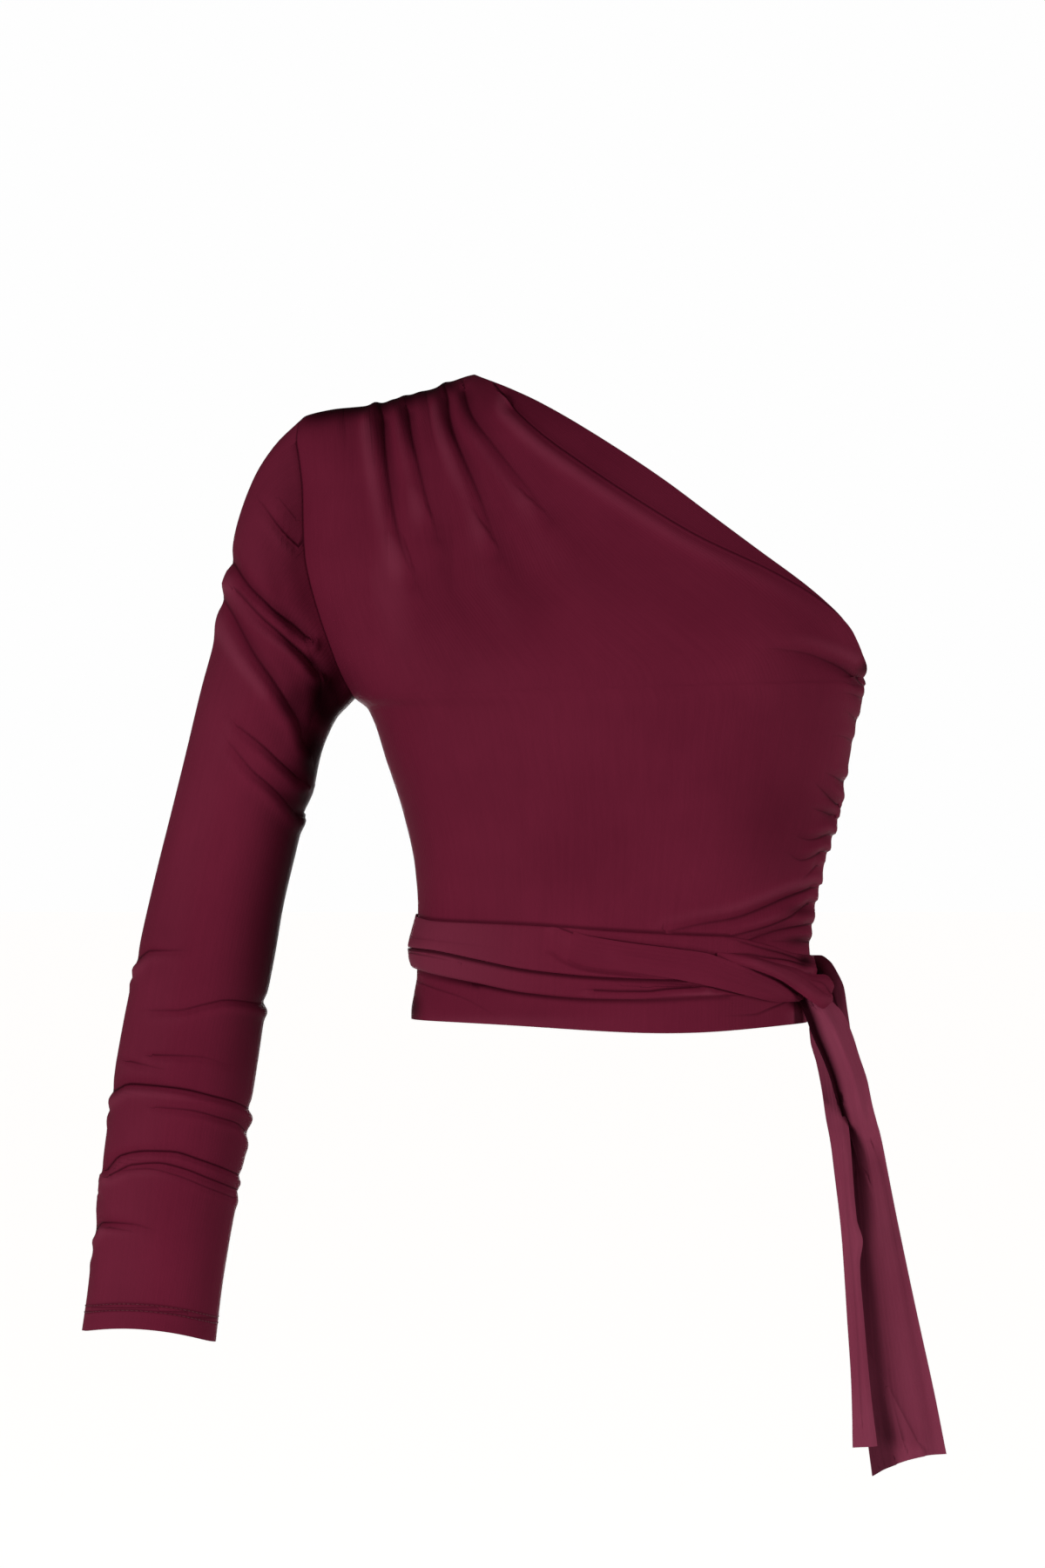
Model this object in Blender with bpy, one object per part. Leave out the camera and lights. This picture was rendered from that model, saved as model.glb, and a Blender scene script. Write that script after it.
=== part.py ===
"""One-shoulder jersey blouse, worn form, hollow.

Lengths are in mm until a mesh is written, then metres.
+X is the wearer's left, -Y the wearer's front, +Z up.
The origin is the middle of the shoulder seam, where a shoulder or a hanger holds the blouse.
"""

import bpy
import numpy as np

WALL = 1.1  # jersey, with its stretch
HEM_WALL = 1.7  # turned hems
SEAM = 0.15  # half of the gap at a seam
MIDLINE = 142.0
RIDGE_ROUND = 45.0  # how far down the shoulder turns over
SASH_CLEAR = 0.7
CLOTH_COLOUR = (0.112, 0.010, 0.026, 1.0)  # linear, from #5E1A2C

for thing in list(bpy.data.objects):
    bpy.data.objects.remove(thing)


# Curves through tables


def along(at, xs, ys):
    """A smooth curve through a table's rows, with no overshoot."""
    xs, ys = np.asarray(xs, float), np.asarray(ys, float)
    at = np.clip(at, xs[0], xs[-1])
    step = np.diff(xs)
    slope = np.diff(ys) / step
    turn = np.zeros_like(ys)
    a, b = slope[:-1], slope[1:]
    turn[1:-1] = np.where(a * b > 0, 2 * a * b / np.where(a + b == 0, 1, a + b), 0)
    turn[0], turn[-1] = slope[0], slope[-1]
    i = np.clip(np.searchsorted(xs, at) - 1, 0, len(step) - 1)
    t = (at - xs[i]) / step[i]
    return (
        (2 * t**3 - 3 * t**2 + 1) * ys[i]
        + (t**3 - 2 * t**2 + t) * step[i] * turn[i]
        + (3 * t**2 - 2 * t**3) * ys[i + 1]
        + (t**3 - t**2) * step[i] * turn[i + 1]
    )


def ease(t):
    t = np.clip(t, 0, 1)
    return t * t * (3 - 2 * t)


def jersey(name):
    """Burgundy stretch jersey with a soft sheen."""
    cloth = bpy.data.materials.new(name + "_jersey")
    cloth.use_nodes = True
    shader = cloth.node_tree.nodes["Principled BSDF"]
    shader.inputs["Base Color"].default_value = CLOTH_COLOUR
    shader.inputs["Roughness"].default_value = 0.62
    shader.inputs["Metallic"].default_value = 0.0
    return cloth


class Path:
    """A line through points on the front plane (x, z), read at a share of its length."""

    def __init__(self, points):
        self.points = np.asarray(points, float)
        self.s = np.r_[0, np.cumsum(np.hypot(*np.diff(self.points, axis=0).T))]

    def at(self, share):
        s = np.asarray(share) * self.s[-1]
        return along(s, self.s, self.points[:, 0]), along(s, self.s, self.points[:, 1])


# The form under the cloth

TORSO = np.array(
    [
        # z, left edge, right edge, front depth, back depth, roundness
        (-402, 15.0, 265.0, 90, 77, 2.25),
        (-386, 15.0, 265.0, 88, 73, 2.25),
        (-374, 16.8, 265.0, 87, 70, 2.25),
        (-362, 18.6, 266.0, 86, 68, 2.25),
        (-345, 18.4, 267.0, 86, 66, 2.25),
        (-320, 19.2, 270.6, 88, 67, 2.25),
        (-295, 17.4, 275.6, 93, 72, 2.30),
        (-261, 10.2, 285.6, 102, 80, 2.35),
        (-228, -0.4, 291.2, 113, 87, 2.40),
        (-195, -12.1, 298.4, 120, 93, 2.40),
        (-188, -20.4, 300.6, 121, 94, 2.40),
        (-173, -30.6, 302.6, 120, 95, 2.38),
        (-156, -40.0, 302.5, 117, 96, 2.35),
        (-135, -49.5, 302.0, 111, 96, 2.30),
        (-98, -60.0, 300.0, 97, 92, 2.20),
        (-58, -61.0, 300.0, 82, 80, 2.15),
        (-14, -65.0, 300.0, 64, 61, 2.10),
        (25, -68.0, 300.0, 50, 46, 2.10),
    ],
    float,
)
BUST = [(72, -158, 9.0), (212, -160, 9.0)]  # x, z, rise

RIDGE = np.array(
    [
        # x, z of the top of the shoulder
        (-56, -13.2), (-51.7, -9.6), (-38, -6.2), (-23.7, -4.4), (-9.9, -2.8), (2.8, 0),
        (18.7, 4.6), (30.8, 8.2), (39.6, 11.8), (55, 16.6), (90, 20), (300, 20),
    ],
    float,
)
ARMHOLE = Path(
    [
        (-55.6, -13.2), (-57, -25), (-55.2, -37), (-52.8, -57.8), (-52.3, -78.7), (-51.2, -98.5), (-47.9, -115.5),
        (-42.4, -134.8), (-35.2, -155.7), (-28.6, -172.7), (-20.4, -188.2),
    ]
)
NECK_FRONT = Path(
    [
        (55, 16.6), (83.6, 5.5), (105, -5.5), (141.4, -27.5), (174.4, -49.5), (204, -71.5), (233.8, -93.5),
        (263.5, -115.0), (278.3, -126.0), (289.2, -136.8), (296.8, -147.8), (301.2, -159.0), (302.3, -178.8),
    ]
)
NECK_BACK = Path(
    [
        (55, 16.6), (83, -3), (110, -22), (150, -50), (190, -78), (230, -106), (260, -129), (281, -147),
        (294, -162), (300, -171), (301.9, -178.8),
    ]
)
UNDERARM_Z = {"arm": -188.2, "bare": -178.8}  # tops of the two side seams
HEM_Z = {"arm": -390.0, "bare": -392.0}  # their lower ends
HEM_DIP = {-1: 5.0, 1: 3.0}  # how much lower the middle of the front and of the back hang

# The front neckline, the sash and each fold are drawn on the plane y = 0, as seen from 4.5 m in front.
VIEW, VIEW_X, VIEW_Z = 4500.0, 85.25, -242.0


def seen_scale(y):
    return VIEW / (VIEW + y)


def seen(p):
    k = seen_scale(p[..., 1])
    return VIEW_X + (p[..., 0] - VIEW_X) * k, VIEW_Z + (p[..., 2] - VIEW_Z) * k


def torso(z, column):
    return along(z, TORSO[:, 0], TORSO[:, column])


def ridge(x):
    return along(x, RIDGE[:, 0], RIDGE[:, 1])


def depth(x, z, side):
    """The y of the form's surface. side is -1 for the front and 1 for the back."""
    left, right, n = torso(z, 1), torso(z, 2), torso(z, 5)
    reach = torso(z, 3 if side < 0 else 4)
    half = np.where(x < MIDLINE, MIDLINE - left, right - MIDLINE)
    out = np.clip(np.abs(x - MIDLINE) / half, 0, 1)
    round_off = np.clip(1 - out**n, 0, 1) ** (1 / n)
    if side < 0:
        for bx, bz, rise in BUST:
            reach = reach + rise * np.exp(-(((x - bx) / 50) ** 2) - ((z - bz) / 46) ** 2)
    down = np.clip((ridge(x) - z) / RIDGE_ROUND, 0, 1)
    return side * reach * round_off * np.sqrt(np.clip(1 - (1 - down) ** 2, 0, 1))


def left_edge(t):
    if t <= 1:
        return ARMHOLE.at(t)
    z = UNDERARM_Z["arm"] + (HEM_Z["arm"] - UNDERARM_Z["arm"]) * (t - 1)
    return torso(z, 1), z


def right_edge(t, side):
    if t <= 1 and side > 0:
        return NECK_BACK.at(t)
    if t <= 1:
        x, z = drawn_x, drawn_z = NECK_FRONT.at(t)
        for _ in range(4):
            scale = seen_scale(depth(x, z, side))
            x, z = VIEW_X + (drawn_x - VIEW_X) / scale, VIEW_Z + (drawn_z - VIEW_Z) / scale
        return x, z
    z = UNDERARM_Z["bare"] + (HEM_Z["bare"] - UNDERARM_Z["bare"]) * (t - 1)
    return torso(z, 2), z


def row(t, side):
    """One row across a panel, as close points, from the wearer's right to the wearer's left."""
    (xa, za), (xb, zb) = left_edge(t), right_edge(t, side)
    f = (1 - np.cos(np.linspace(0, np.pi, 500))) / 2
    x = xa + (xb - xa) * f
    z = za + (zb - za) * f
    if t < 1:
        (tip_x, tip_z), (neck_x, neck_z) = ARMHOLE.points[0], NECK_FRONT.points[0]
        over = ridge(tip_x + (neck_x - tip_x) * f) - (tip_z + (neck_z - tip_z) * f)
        z = z + over * (1 - ease(t / 0.3))
    else:
        skew = f**1.5 if side < 0 else f
        z = z - HEM_DIP[side] * (t - 1) * np.sin(np.pi * np.clip(skew, 0, 1)) ** 1.5
    return np.stack([x, depth(x, z, side), z], 1)


def resample(line, shares):
    s = np.r_[0, np.cumsum(np.linalg.norm(np.diff(line, axis=0), axis=1))]
    at = np.asarray(shares) * s[-1]
    return np.stack([np.interp(at, s, line[:, k]) for k in range(3)], 1)


# The sash's lines, which the folds stop at

SASH_FRONT = np.array(
    [
        # x, top edge, line between the turns, lower edge
        (12, -323.4, -344.9, -356.6), (30, -328.2, -346.8, -362.2), (57, -329.5, -352.6, -367.8),
        (89, -331.0, -359.2, -374.0), (131, -334.0, -363.6, -377.6), (156, -335.6, -364.8, -378.0),
        (188, -337.2, -365.6, -376.5), (215, -338.3, -365.0, -375.5), (240, -343.5, -364.0, -376.0),
        (258, -349.0, -364.0, -377.0), (280, -351.0, -365.0, -377.0),
    ],
    float,
)
SASH_BACK = np.array(
    [
        (12, -323.4, -344.9, -356.6), (60, -326.0, -349.0, -366.0), (142, -330.0, -354.0, -374.0),
        (230, -342.0, -361.0, -377.0), (258, -349.0, -364.0, -377.0), (280, -351.0, -365.0, -377.0),
    ],
    float,
)


def sash_height(x_seen, x, y, column):
    """The height of one of the sash's lines, as seen on the front and at its true place on the back."""
    front = VIEW_Z + (along(x_seen, SASH_FRONT[:, 0], SASH_FRONT[:, column]) - VIEW_Z) / seen_scale(y)
    back = along(x, SASH_BACK[:, 0], SASH_BACK[:, column])
    return np.where(y <= 0.5, front, back)


# Folds


def fold(x, z, points, width, down, up=0.0, start=1.0, end=0.3):
    """Height of one crease: a trough along the points and a soft ridge beside it. start and end scale its ends."""
    px, pz = Path(points).at(np.linspace(0, 1, 25))
    best = np.full(x.shape, 1e9)
    signed = np.zeros(x.shape)
    share = np.zeros(x.shape)
    for i in range(24):
        dx, dz = px[i + 1] - px[i], pz[i + 1] - pz[i]
        t = np.clip(((x - px[i]) * dx + (z - pz[i]) * dz) / (dx * dx + dz * dz), 0, 1)
        ox, oz = x - px[i] - t * dx, z - pz[i] - t * dz
        far = ox * ox + oz * oz
        near = far < best
        best = np.where(near, far, best)
        signed = np.where(near, np.sign(dx * oz - dz * ox) * np.sqrt(far), signed)
        share = np.where(near, (i + t) / 24, share)
    power = start + (end - start) * share
    beside = np.exp(-(((np.abs(signed) - 2.0 * width) / (1.2 * width)) ** 2))
    lean = 0.5 + 0.5 * np.tanh(signed / width)
    return power * (-down * np.exp(-best / width**2) + up * beside * (0.35 + 0.65 * lean))


FRONT_FOLDS = [
    # points, width, down, up, start, end
    ([(-27.5, -5), (-24.8, -40)], 4.5, 1.6, 0.6, 1, 0.2),
    ([(-15, -4), (-12, -44)], 4.5, 1.6, 0.6, 1, 0.2),
    ([(-4.4, -2), (-1, -30), (4, -72), (13.8, -101), (20, -122)], 6.0, 4.2, 1.8, 1, 0.1),
    ([(12, 0), (16.5, -27), (22, -52), (30, -88)], 5.5, 3.2, 1.4, 1, 0.1),
    ([(24, 5), (27, -20), (34, -46)], 4.5, 1.6, 0.8, 1, 0.1),
    ([(36.9, 9), (40, -12), (52, -40), (63, -65), (74, -100)], 6.5, 3.4, 1.6, 1, 0.1),
    ([(46.5, 12), (58, -10), (72, -34), (88, -52), (113, -88)], 6.5, 3.4, 1.6, 1, 0.1),
    (
        [(67, 10), (80.3, -4.4), (97.4, -20.4), (117.7, -35.2), (157.3, -61.6), (195.8, -84.7), (243.1, -107.3),
         (270, -121), (286, -134)],
        6.0, 3.6, 2.0, 0.9, 0.5,
    ),
    ([(299, -177), (291, -171), (275, -164), (245, -157)], 7.0, 4.0, 2.2, 0.8, 0.1),
    ([(297, -196), (282, -191), (262, -190)], 4.5, 2.2, 1.0, 0.7, 0.1),
    ([(294, -212), (276, -208), (255, -208)], 5.0, 2.4, 1.2, 0.8, 0.1),
    ([(290, -238), (268, -238), (245, -243)], 5.0, 2.6, 1.2, 0.7, 0.1),
    ([(286, -258), (264, -256), (240, -262)], 5.0, 2.8, 1.4, 0.8, 0.1),
    ([(281, -276), (263, -277), (240, -284)], 4.5, 2.4, 1.2, 0.7, 0.1),
    ([(277, -288), (250, -288), (222, -298)], 5.0, 3.0, 1.6, 0.8, 0.1),
    ([(272, -303), (245, -312), (212, -326), (168, -336)], 5.5, 3.2, 1.8, 0.7, 0.3),
    ([(269, -320), (246, -327), (222, -335)], 4.5, 2.6, 1.2, 0.7, 0.3),
]
BACK_FOLDS = [
    ([(-27.5, -5), (-26, -38)], 4.5, 1.6, 0.6, 1, 0.2),
    ([(-15, -4), (-14, -50)], 4.5, 1.6, 0.6, 1, 0.2),
    ([(-4.4, -2), (-4, -34), (2, -84)], 6.0, 3.4, 1.4, 1, 0.1),
    ([(12, 0), (15, -30), (24, -76)], 5.5, 2.8, 1.2, 1, 0.1),
    ([(24, 5), (30, -24)], 4.5, 1.6, 0.8, 1, 0.1),
    ([(36.9, 9), (46, -22), (68, -66)], 6.5, 2.8, 1.4, 1, 0.1),
    ([(46.5, 12), (66, -22), (104, -62)], 6.5, 2.8, 1.4, 1, 0.1),
    ([(299, -186), (270, -178), (236, -180)], 7.0, 3.2, 1.6, 1, 0.1),
    ([(293, -214), (262, -210), (232, -216)], 6.0, 2.8, 1.2, 1, 0.1),
    ([(288, -240), (262, -240), (236, -248)], 5.5, 2.6, 1.2, 1, 0.1),
    ([(284, -262), (256, -262), (226, -272)], 5.5, 2.8, 1.4, 1, 0.1),
    ([(276, -288), (246, -290), (214, -302)], 5.5, 3.0, 1.4, 1, 0.1),
    ([(270, -312), (240, -316), (196, -326)], 5.5, 2.8, 1.4, 1, 0.2),
    ([(34, -302), (62, -307), (96, -318)], 7.0, 2.0, 1.0, 0.3, 0.5),
]


SEAM_GATHERS = [
    # x of the middle, width, height: the tucks that bump along the shoulder seam, the same on both panels
    (-31, 8, 0.5), (-9.5, 4, 1.1), (3.5, 4.5, 1.6), (19, 4.5, 1.8), (30, 3.6, 1.8), (42, 3.6, 1.9),
]


def seam_rise(x):
    return sum(high * np.exp(-(((x - middle) / width) ** 2)) for middle, width, high in SEAM_GATHERS)


def panel_rise(p, side):
    """How far the folds move each point of a panel along its normal."""
    x, z = seen(p) if side < 0 else (p[..., 0], p[..., 2])
    high = np.zeros(x.shape)
    for points, width, down, up, start, end in FRONT_FOLDS if side < 0 else BACK_FOLDS:
        high = high + fold(x, z, points, width, down, up, start, end)
    sash_top = sash_height(seen(p)[0], p[..., 0], p[..., 1], 1)
    calm = ease((p[..., 2] - sash_top + 1) / 8)  # flat under the sash
    off_top = ease((ridge(p[..., 0]) - p[..., 2]) / 12)
    off_side = np.where(p[..., 0] < MIDLINE, ease(p[..., 1] * side / 6), 1)  # the sleeve's side seam is smooth
    return (high * off_top * off_side + seam_rise(p[..., 0]) * (1 - off_top)) * calm


# Thin walls


def normals(grid, loop=False):
    """Unit normals of a grid of points, with its second axis closed when loop is set."""
    du = np.gradient(grid, axis=0)
    if loop:
        dv = (np.roll(grid, -1, 1) - np.roll(grid, 1, 1)) / 2
    else:
        dv = np.gradient(grid, axis=1)
    n = np.cross(du, dv)
    return n / np.maximum(np.linalg.norm(n, axis=2, keepdims=True), 1e-9)


def wall_mesh(name, outer, inner, loop=False):
    """One closed body from an outer and an inner grid, whose first axis runs along and second across or round."""
    rows, cols = outer.shape[:2]
    points = np.concatenate([outer.reshape(-1, 3), inner.reshape(-1, 3)])
    faces = []
    last = cols if loop else cols - 1

    def quad(layer, i, j):
        k = (j + 1) % cols
        a = layer * rows * cols
        return (a + i * cols + j, a + (i + 1) * cols + j, a + (i + 1) * cols + k, a + i * cols + k)

    for i in range(rows - 1):
        for j in range(last):
            faces.append(quad(0, i, j))
            faces.append(quad(1, i, j)[::-1])
    half = rows * cols
    for j in range(last):
        k = (j + 1) % cols
        faces.append((j, k, half + k, half + j))
        a, b = (rows - 1) * cols + j, (rows - 1) * cols + k
        faces.append((b, a, half + a, half + b))
    if not loop:
        for i in range(rows - 1):
            a, b = i * cols, (i + 1) * cols
            faces.append((b, a, half + a, half + b))
            a, b = a + cols - 1, b + cols - 1
            faces.append((a, b, half + b, half + a))
    return body_from(name, points, faces)


def body_from(name, points, faces):
    """One named object with its own cloth, from points in mm. Its faces are turned to look out."""
    mesh = bpy.data.meshes.new(name)
    mesh.from_pydata((points * 0.001).tolist(), [], faces)
    volume = sum(f.area * f.normal.dot(mesh.vertices[f.vertices[0]].co) for f in mesh.polygons)
    if volume < 0:
        mesh.flip_normals()
    mesh.shade_smooth()
    mesh.set_sharp_from_angle(angle=0.9)
    mesh.materials.append(jersey(name))
    thing = bpy.data.objects.new(name, mesh)
    bpy.context.scene.collection.objects.link(thing)
    return thing


# Front and back panels

ARM_ROWS = 12
UPPER_ROWS = (0, 0.07, 0.15, 0.24, 0.33, 0.42, 0.51, 0.60, 0.69, 0.78, 0.86, 0.935, 1)
ROWS = np.r_[UPPER_ROWS, np.linspace(1, 1.66, 17)[1:], 1.75, 1.84, 1.93, 1.98, 2.0]
FRONT_GUIDES = {
    # row: share of the way across at which each guide column runs. The guides follow the main gathers.
    0.00: (0, 0.44, 0.57, 0.78, 0.86, 0.945, 1),
    0.33: (0, 0.27, 0.377, 0.54, 0.645, 0.85, 1),
    0.66: (0, 0.205, 0.29, 0.44, 0.57, 0.93, 1),
    1.00: (0, 0.22, 0.32, 0.46, 0.60, 0.88, 1),
    2.00: (0, 0.22, 0.32, 0.46, 0.60, 0.88, 1),
}
BACK_GUIDES = {
    0.00: (0, 0.44, 0.57, 0.78, 0.86, 0.945, 1),
    0.33: (0, 0.27, 0.377, 0.52, 0.63, 0.82, 1),
    0.66: (0, 0.205, 0.30, 0.45, 0.60, 0.86, 1),
    1.00: (0, 0.22, 0.33, 0.46, 0.60, 0.86, 1),
    2.00: (0, 0.22, 0.33, 0.46, 0.60, 0.86, 1),
}
FRONT_COLUMNS = (6, 4, 5, 4, 7, 6)  # columns between the guides
BACK_COLUMNS = (4, 3, 4, 3, 5, 5)


def columns(t, side):
    guides = FRONT_GUIDES if side < 0 else BACK_GUIDES
    counts = FRONT_COLUMNS if side < 0 else BACK_COLUMNS
    rows = sorted(guides)
    marks = [float(np.interp(t, rows, [guides[r][k] for r in rows])) for k in range(7)]
    shares = [0.0]
    for k, count in enumerate(counts):
        shares += list(marks[k] + (marks[k + 1] - marks[k]) * np.arange(1, count + 1) / count)
    return np.array(shares)


def panel(side):
    base = np.stack([resample(row(t, side), columns(t, side)) for t in ROWS])
    n = normals(base)
    n *= np.sign(np.mean(n[..., 1]) * side)
    n[0] = (0, 0, 1)
    n[:, 0, 1] *= np.where(ROWS >= 1, 0, 1)
    n[ARM_ROWS:, -1, 1] = 0
    n /= np.linalg.norm(n, axis=2, keepdims=True)
    outer = base + n * panel_rise(base, side)[..., None]
    m = normals(outer)
    m *= np.sign(np.mean(m[..., 1]) * side)
    m[0] = (0, 0, 1)
    m[ARM_ROWS:, 0, 1] = 0
    m[ARM_ROWS:, -1, 1] = 0
    m /= np.linalg.norm(m, axis=2, keepdims=True)
    inner = outer - m * np.where(ROWS > 1.95, HEM_WALL, WALL)[:, None, None]
    for grid in (outer, inner):
        grid[..., 1] = np.maximum(grid[..., 1] * side, SEAM) * side
        grid[0, :, 1] = SEAM * side
        grid[ARM_ROWS:, 0, 1] = SEAM * side
        grid[ARM_ROWS:, -1, 1] = SEAM * side
    inner[0, :, 2] = outer[0, :, 2] - WALL
    return outer, inner


front_outer, front_inner = panel(-1)
back_outer, back_inner = panel(1)
wall_mesh("front_panel", front_outer, front_inner)
wall_mesh("back_panel", back_outer, back_inner)

# Sleeve

ARM = np.array(
    [
        # upper edge x, z, lower edge x, z, front depth, back depth, middle y, roundness
        (-55.6, -13.2, -20.4, -188.2, 40, 40, 0, 2.1),
        (-70.4, -27.5, -25.9, -194.0, 46, 46, 0, 2.1),
        (-84.7, -49.5, -31.4, -200.0, 49, 50, 1, 2.1),
        (-96.3, -82.5, -36.9, -211.0, 51, 52, 2, 2.1),
        (-102.9, -115.5, -42.4, -226.6, 51, 53, 3, 2.1),
        (-108.9, -148.5, -46.2, -244.8, 50, 52, 4, 2.1),
        (-117.7, -181.5, -52.3, -262.9, 49, 50, 4, 2.1),
        (-128.2, -225.5, -59.4, -291.5, 47, 48, 3, 2.1),
        (-137.0, -261.2, -66.0, -320.1, 45, 46, 2, 2.1),
        (-145.2, -294.2, -70.4, -346.5, 44, 45, 0, 2.1),
        (-152.9, -327.2, -74.2, -367.4, 44, 45, -2, 2.1),
        (-160.0, -360.3, -77.6, -389.4, 44, 44, -5, 2.1),
        (-166.6, -393.3, -80.9, -412.5, 43, 43, -8, 2.1),
        (-172.2, -426.3, -84.7, -438.9, 43, 43, -11, 2.1),
        (-176.7, -462.0, -87.5, -464.8, 43, 42, -14, 2.1),
        (-180.4, -489.5, -91.9, -490.6, 42, 41, -17, 2.1),
        (-184.3, -525.2, -98.5, -526.9, 40, 39, -20, 2.1),
        (-188.1, -561.0, -104.0, -562.1, 39, 38, -23, 2.1),
        (-191.4, -584.7, -107.3, -591.8, 39, 37, -25, 2.1),
    ],
    float,
)
ARM_AT = np.r_[0, np.cumsum(np.hypot(*np.diff((ARM[:, :2] + ARM[:, 2:4]) / 2, axis=0).T))]
ARM_AT /= ARM_AT[-1]

SLEEVE_FOLDS = [
    # points, width, down, up, start, end, share of it on the back
    ([(-80, -64), (-66, -82), (-54, -96)], 5.0, 2.4, 1.2, 0.4, 1, 0.6),
    ([(-102, -103), (-90, -116), (-76, -128), (-60, -140), (-50, -150)], 6.0, 3.6, 1.8, 0.5, 0.8, 0.8),
    ([(-94, -124), (-80, -137), (-64, -150), (-46, -169)], 5.5, 3.0, 1.4, 0.4, 1, 0.5),
    (
        [(-104, -130), (-95, -145), (-84, -160), (-72, -177), (-60, -192), (-47, -218)],
        7.0, 4.6, 2.2, 0.2, 1, 0.9,
    ),
    ([(-94, -206), (-78, -218), (-58, -238)], 6.0, 2.6, 1.2, 0.4, 0.8, 0.8),
    ([(-98, -219), (-84, -234), (-66, -252), (-54, -260)], 6.0, 2.6, 1.2, 0.3, 0.7, 0.8),
    ([(-157, -353), (-149, -348), (-126, -346)], 5.5, 2.6, 1.4, 0.4, 0.3, 0.8),
    ([(-150, -385), (-118, -383), (-98, -380), (-78, -381)], 6.0, 2.6, 1.6, 0.5, 0.4, 0.8),
    ([(-148, -413), (-120, -414), (-96, -420)], 5.5, 1.8, 1.2, 0.7, 0.8, 0.7),
    ([(-173, -434), (-160, -431), (-130, -434), (-104, -441), (-88, -447)], 6.0, 3.4, 2.0, 0.4, 0.4, 0.9),
    ([(-146, -446), (-118, -448), (-97, -455), (-88, -463)], 5.5, 2.4, 1.4, 0.5, 0.3, 0.7),
    ([(-176, -482), (-168, -475), (-150, -472), (-118, -475), (-92, -484)], 6.0, 3.4, 2.2, 0.4, 0.4, 0.9),
    ([(-174, -489), (-160, -483), (-130, -485), (-96, -496)], 5.0, 2.2, 1.2, 0.5, 0.3, 0.7),
    ([(-184, -523), (-172, -517), (-152, -521)], 5.5, 2.4, 1.4, 0.3, 0.2, 0.8),
    ([(-164, -356), (-162, -360)], 6.5, -1.8, 0, 1, 1, 0.8),
    ([(-179, -436), (-177, -440)], 6.5, -1.8, 0, 1, 1, 0.8),
    ([(-184, -490), (-182, -494)], 6.5, -1.6, 0, 1, 1, 0.8),
    ([(-84, -446), (-85, -450)], 6.0, -1.8, 0, 1, 1, 0.8),
    ([(-85, -463), (-86, -467)], 5.0, -1.6, 0, 1, 1, 0.8),
    ([(-88, -491), (-90, -495)], 6.0, -2.0, 0, 1, 1, 0.8),
    ([(-104, -128), (-106, -136)], 9.0, -2.0, 0, 1, 1, 0.8),
]


def sleeve_rise(p, n):
    x, z = seen(p)
    front = ease((0.35 - n[..., 1]) / 0.7)
    high = np.zeros(x.shape)
    for points, width, down, up, start, end, behind in SLEEVE_FOLDS:
        ahead = fold(x, z, points, width, down, up, start, end)
        turned = [(a, b - 5 + 0.12 * (a + 130)) for a, b in points]
        rear = fold(p[..., 0], p[..., 2], turned, width * 1.1, down, up, start, end)
        high = high + ahead * front + rear * behind * (1 - front)
    return high


def arm_ring(s, shares):
    """One section of the sleeve at a share of its length, at shares of the way round from its upper edge."""
    ox, oz, ix, iz, ahead, behind, middle, n = (float(along(s, ARM_AT, ARM[:, k])) for k in range(8))
    turn = np.linspace(0, np.pi, 300)
    c, q = np.cos(turn), np.sin(turn) ** (2 / n)
    c = np.sign(c) * np.abs(c) ** (2 / n)
    x, z = (ox + ix) / 2 + (ox - ix) / 2 * c, (oz + iz) / 2 + (oz - iz) / 2 * c
    lift = 6.5 * ease((s - 0.93) / 0.07)
    ahead_half = np.stack([x, middle - ahead * q, z + lift * q**2], 1)
    behind_half = np.stack([x, middle + behind * q, z + lift * 0.3 * q**2], 1)
    first, second = resample(ahead_half, 2 * shares), resample(behind_half, 2 * (1 - shares))
    return np.where((shares <= 0.5)[:, None], first, second)


def away(outer, inner, side):
    """Directions out of a panel's armhole edge, along the panel."""
    edge = outer[: ARM_ROWS + 1, 0]
    t = np.cross(np.gradient(edge, axis=0), edge - inner[: ARM_ROWS + 1, 0]) * side
    t /= np.linalg.norm(t, axis=1, keepdims=True)
    return -t if t[ARM_ROWS // 2, 0] > 0 else t


def edge_shares(outer):
    """Where the panel's rows fall round the armhole, as shares of half of the way round."""
    s = np.r_[0, np.cumsum(np.linalg.norm(np.diff(outer[: ARM_ROWS + 1, 0], axis=0), axis=1))]
    return s / s[-1]


SEAM_OUT = 0.5  # from the panels' edges to the sleeve


def armhole_loops():
    """The sleeve's first ring, outside and inside."""
    loops = []
    tf, tb = away(front_outer, front_inner, -1), away(back_outer, back_inner, 1)
    for f, b in ((front_outer, back_outer), (front_inner, back_inner)):
        ahead = f[: ARM_ROWS + 1, 0] + tf * SEAM_OUT
        behind = b[: ARM_ROWS + 1, 0] + tb * SEAM_OUT
        top = (ahead[0] + behind[0]) / 2
        low = (ahead[-1] + behind[-1]) / 2
        loops.append(np.concatenate([[top], ahead[1:-1], [low], behind[1:-1][::-1]]))
    return loops


SLEEVE_ROWS = np.r_[
    0, 0.02, np.linspace(0.045, 0.36, 17), np.linspace(0.40, 0.56, 6), np.linspace(0.585, 0.90, 19), 0.935, 0.97, 1.0
]


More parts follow.
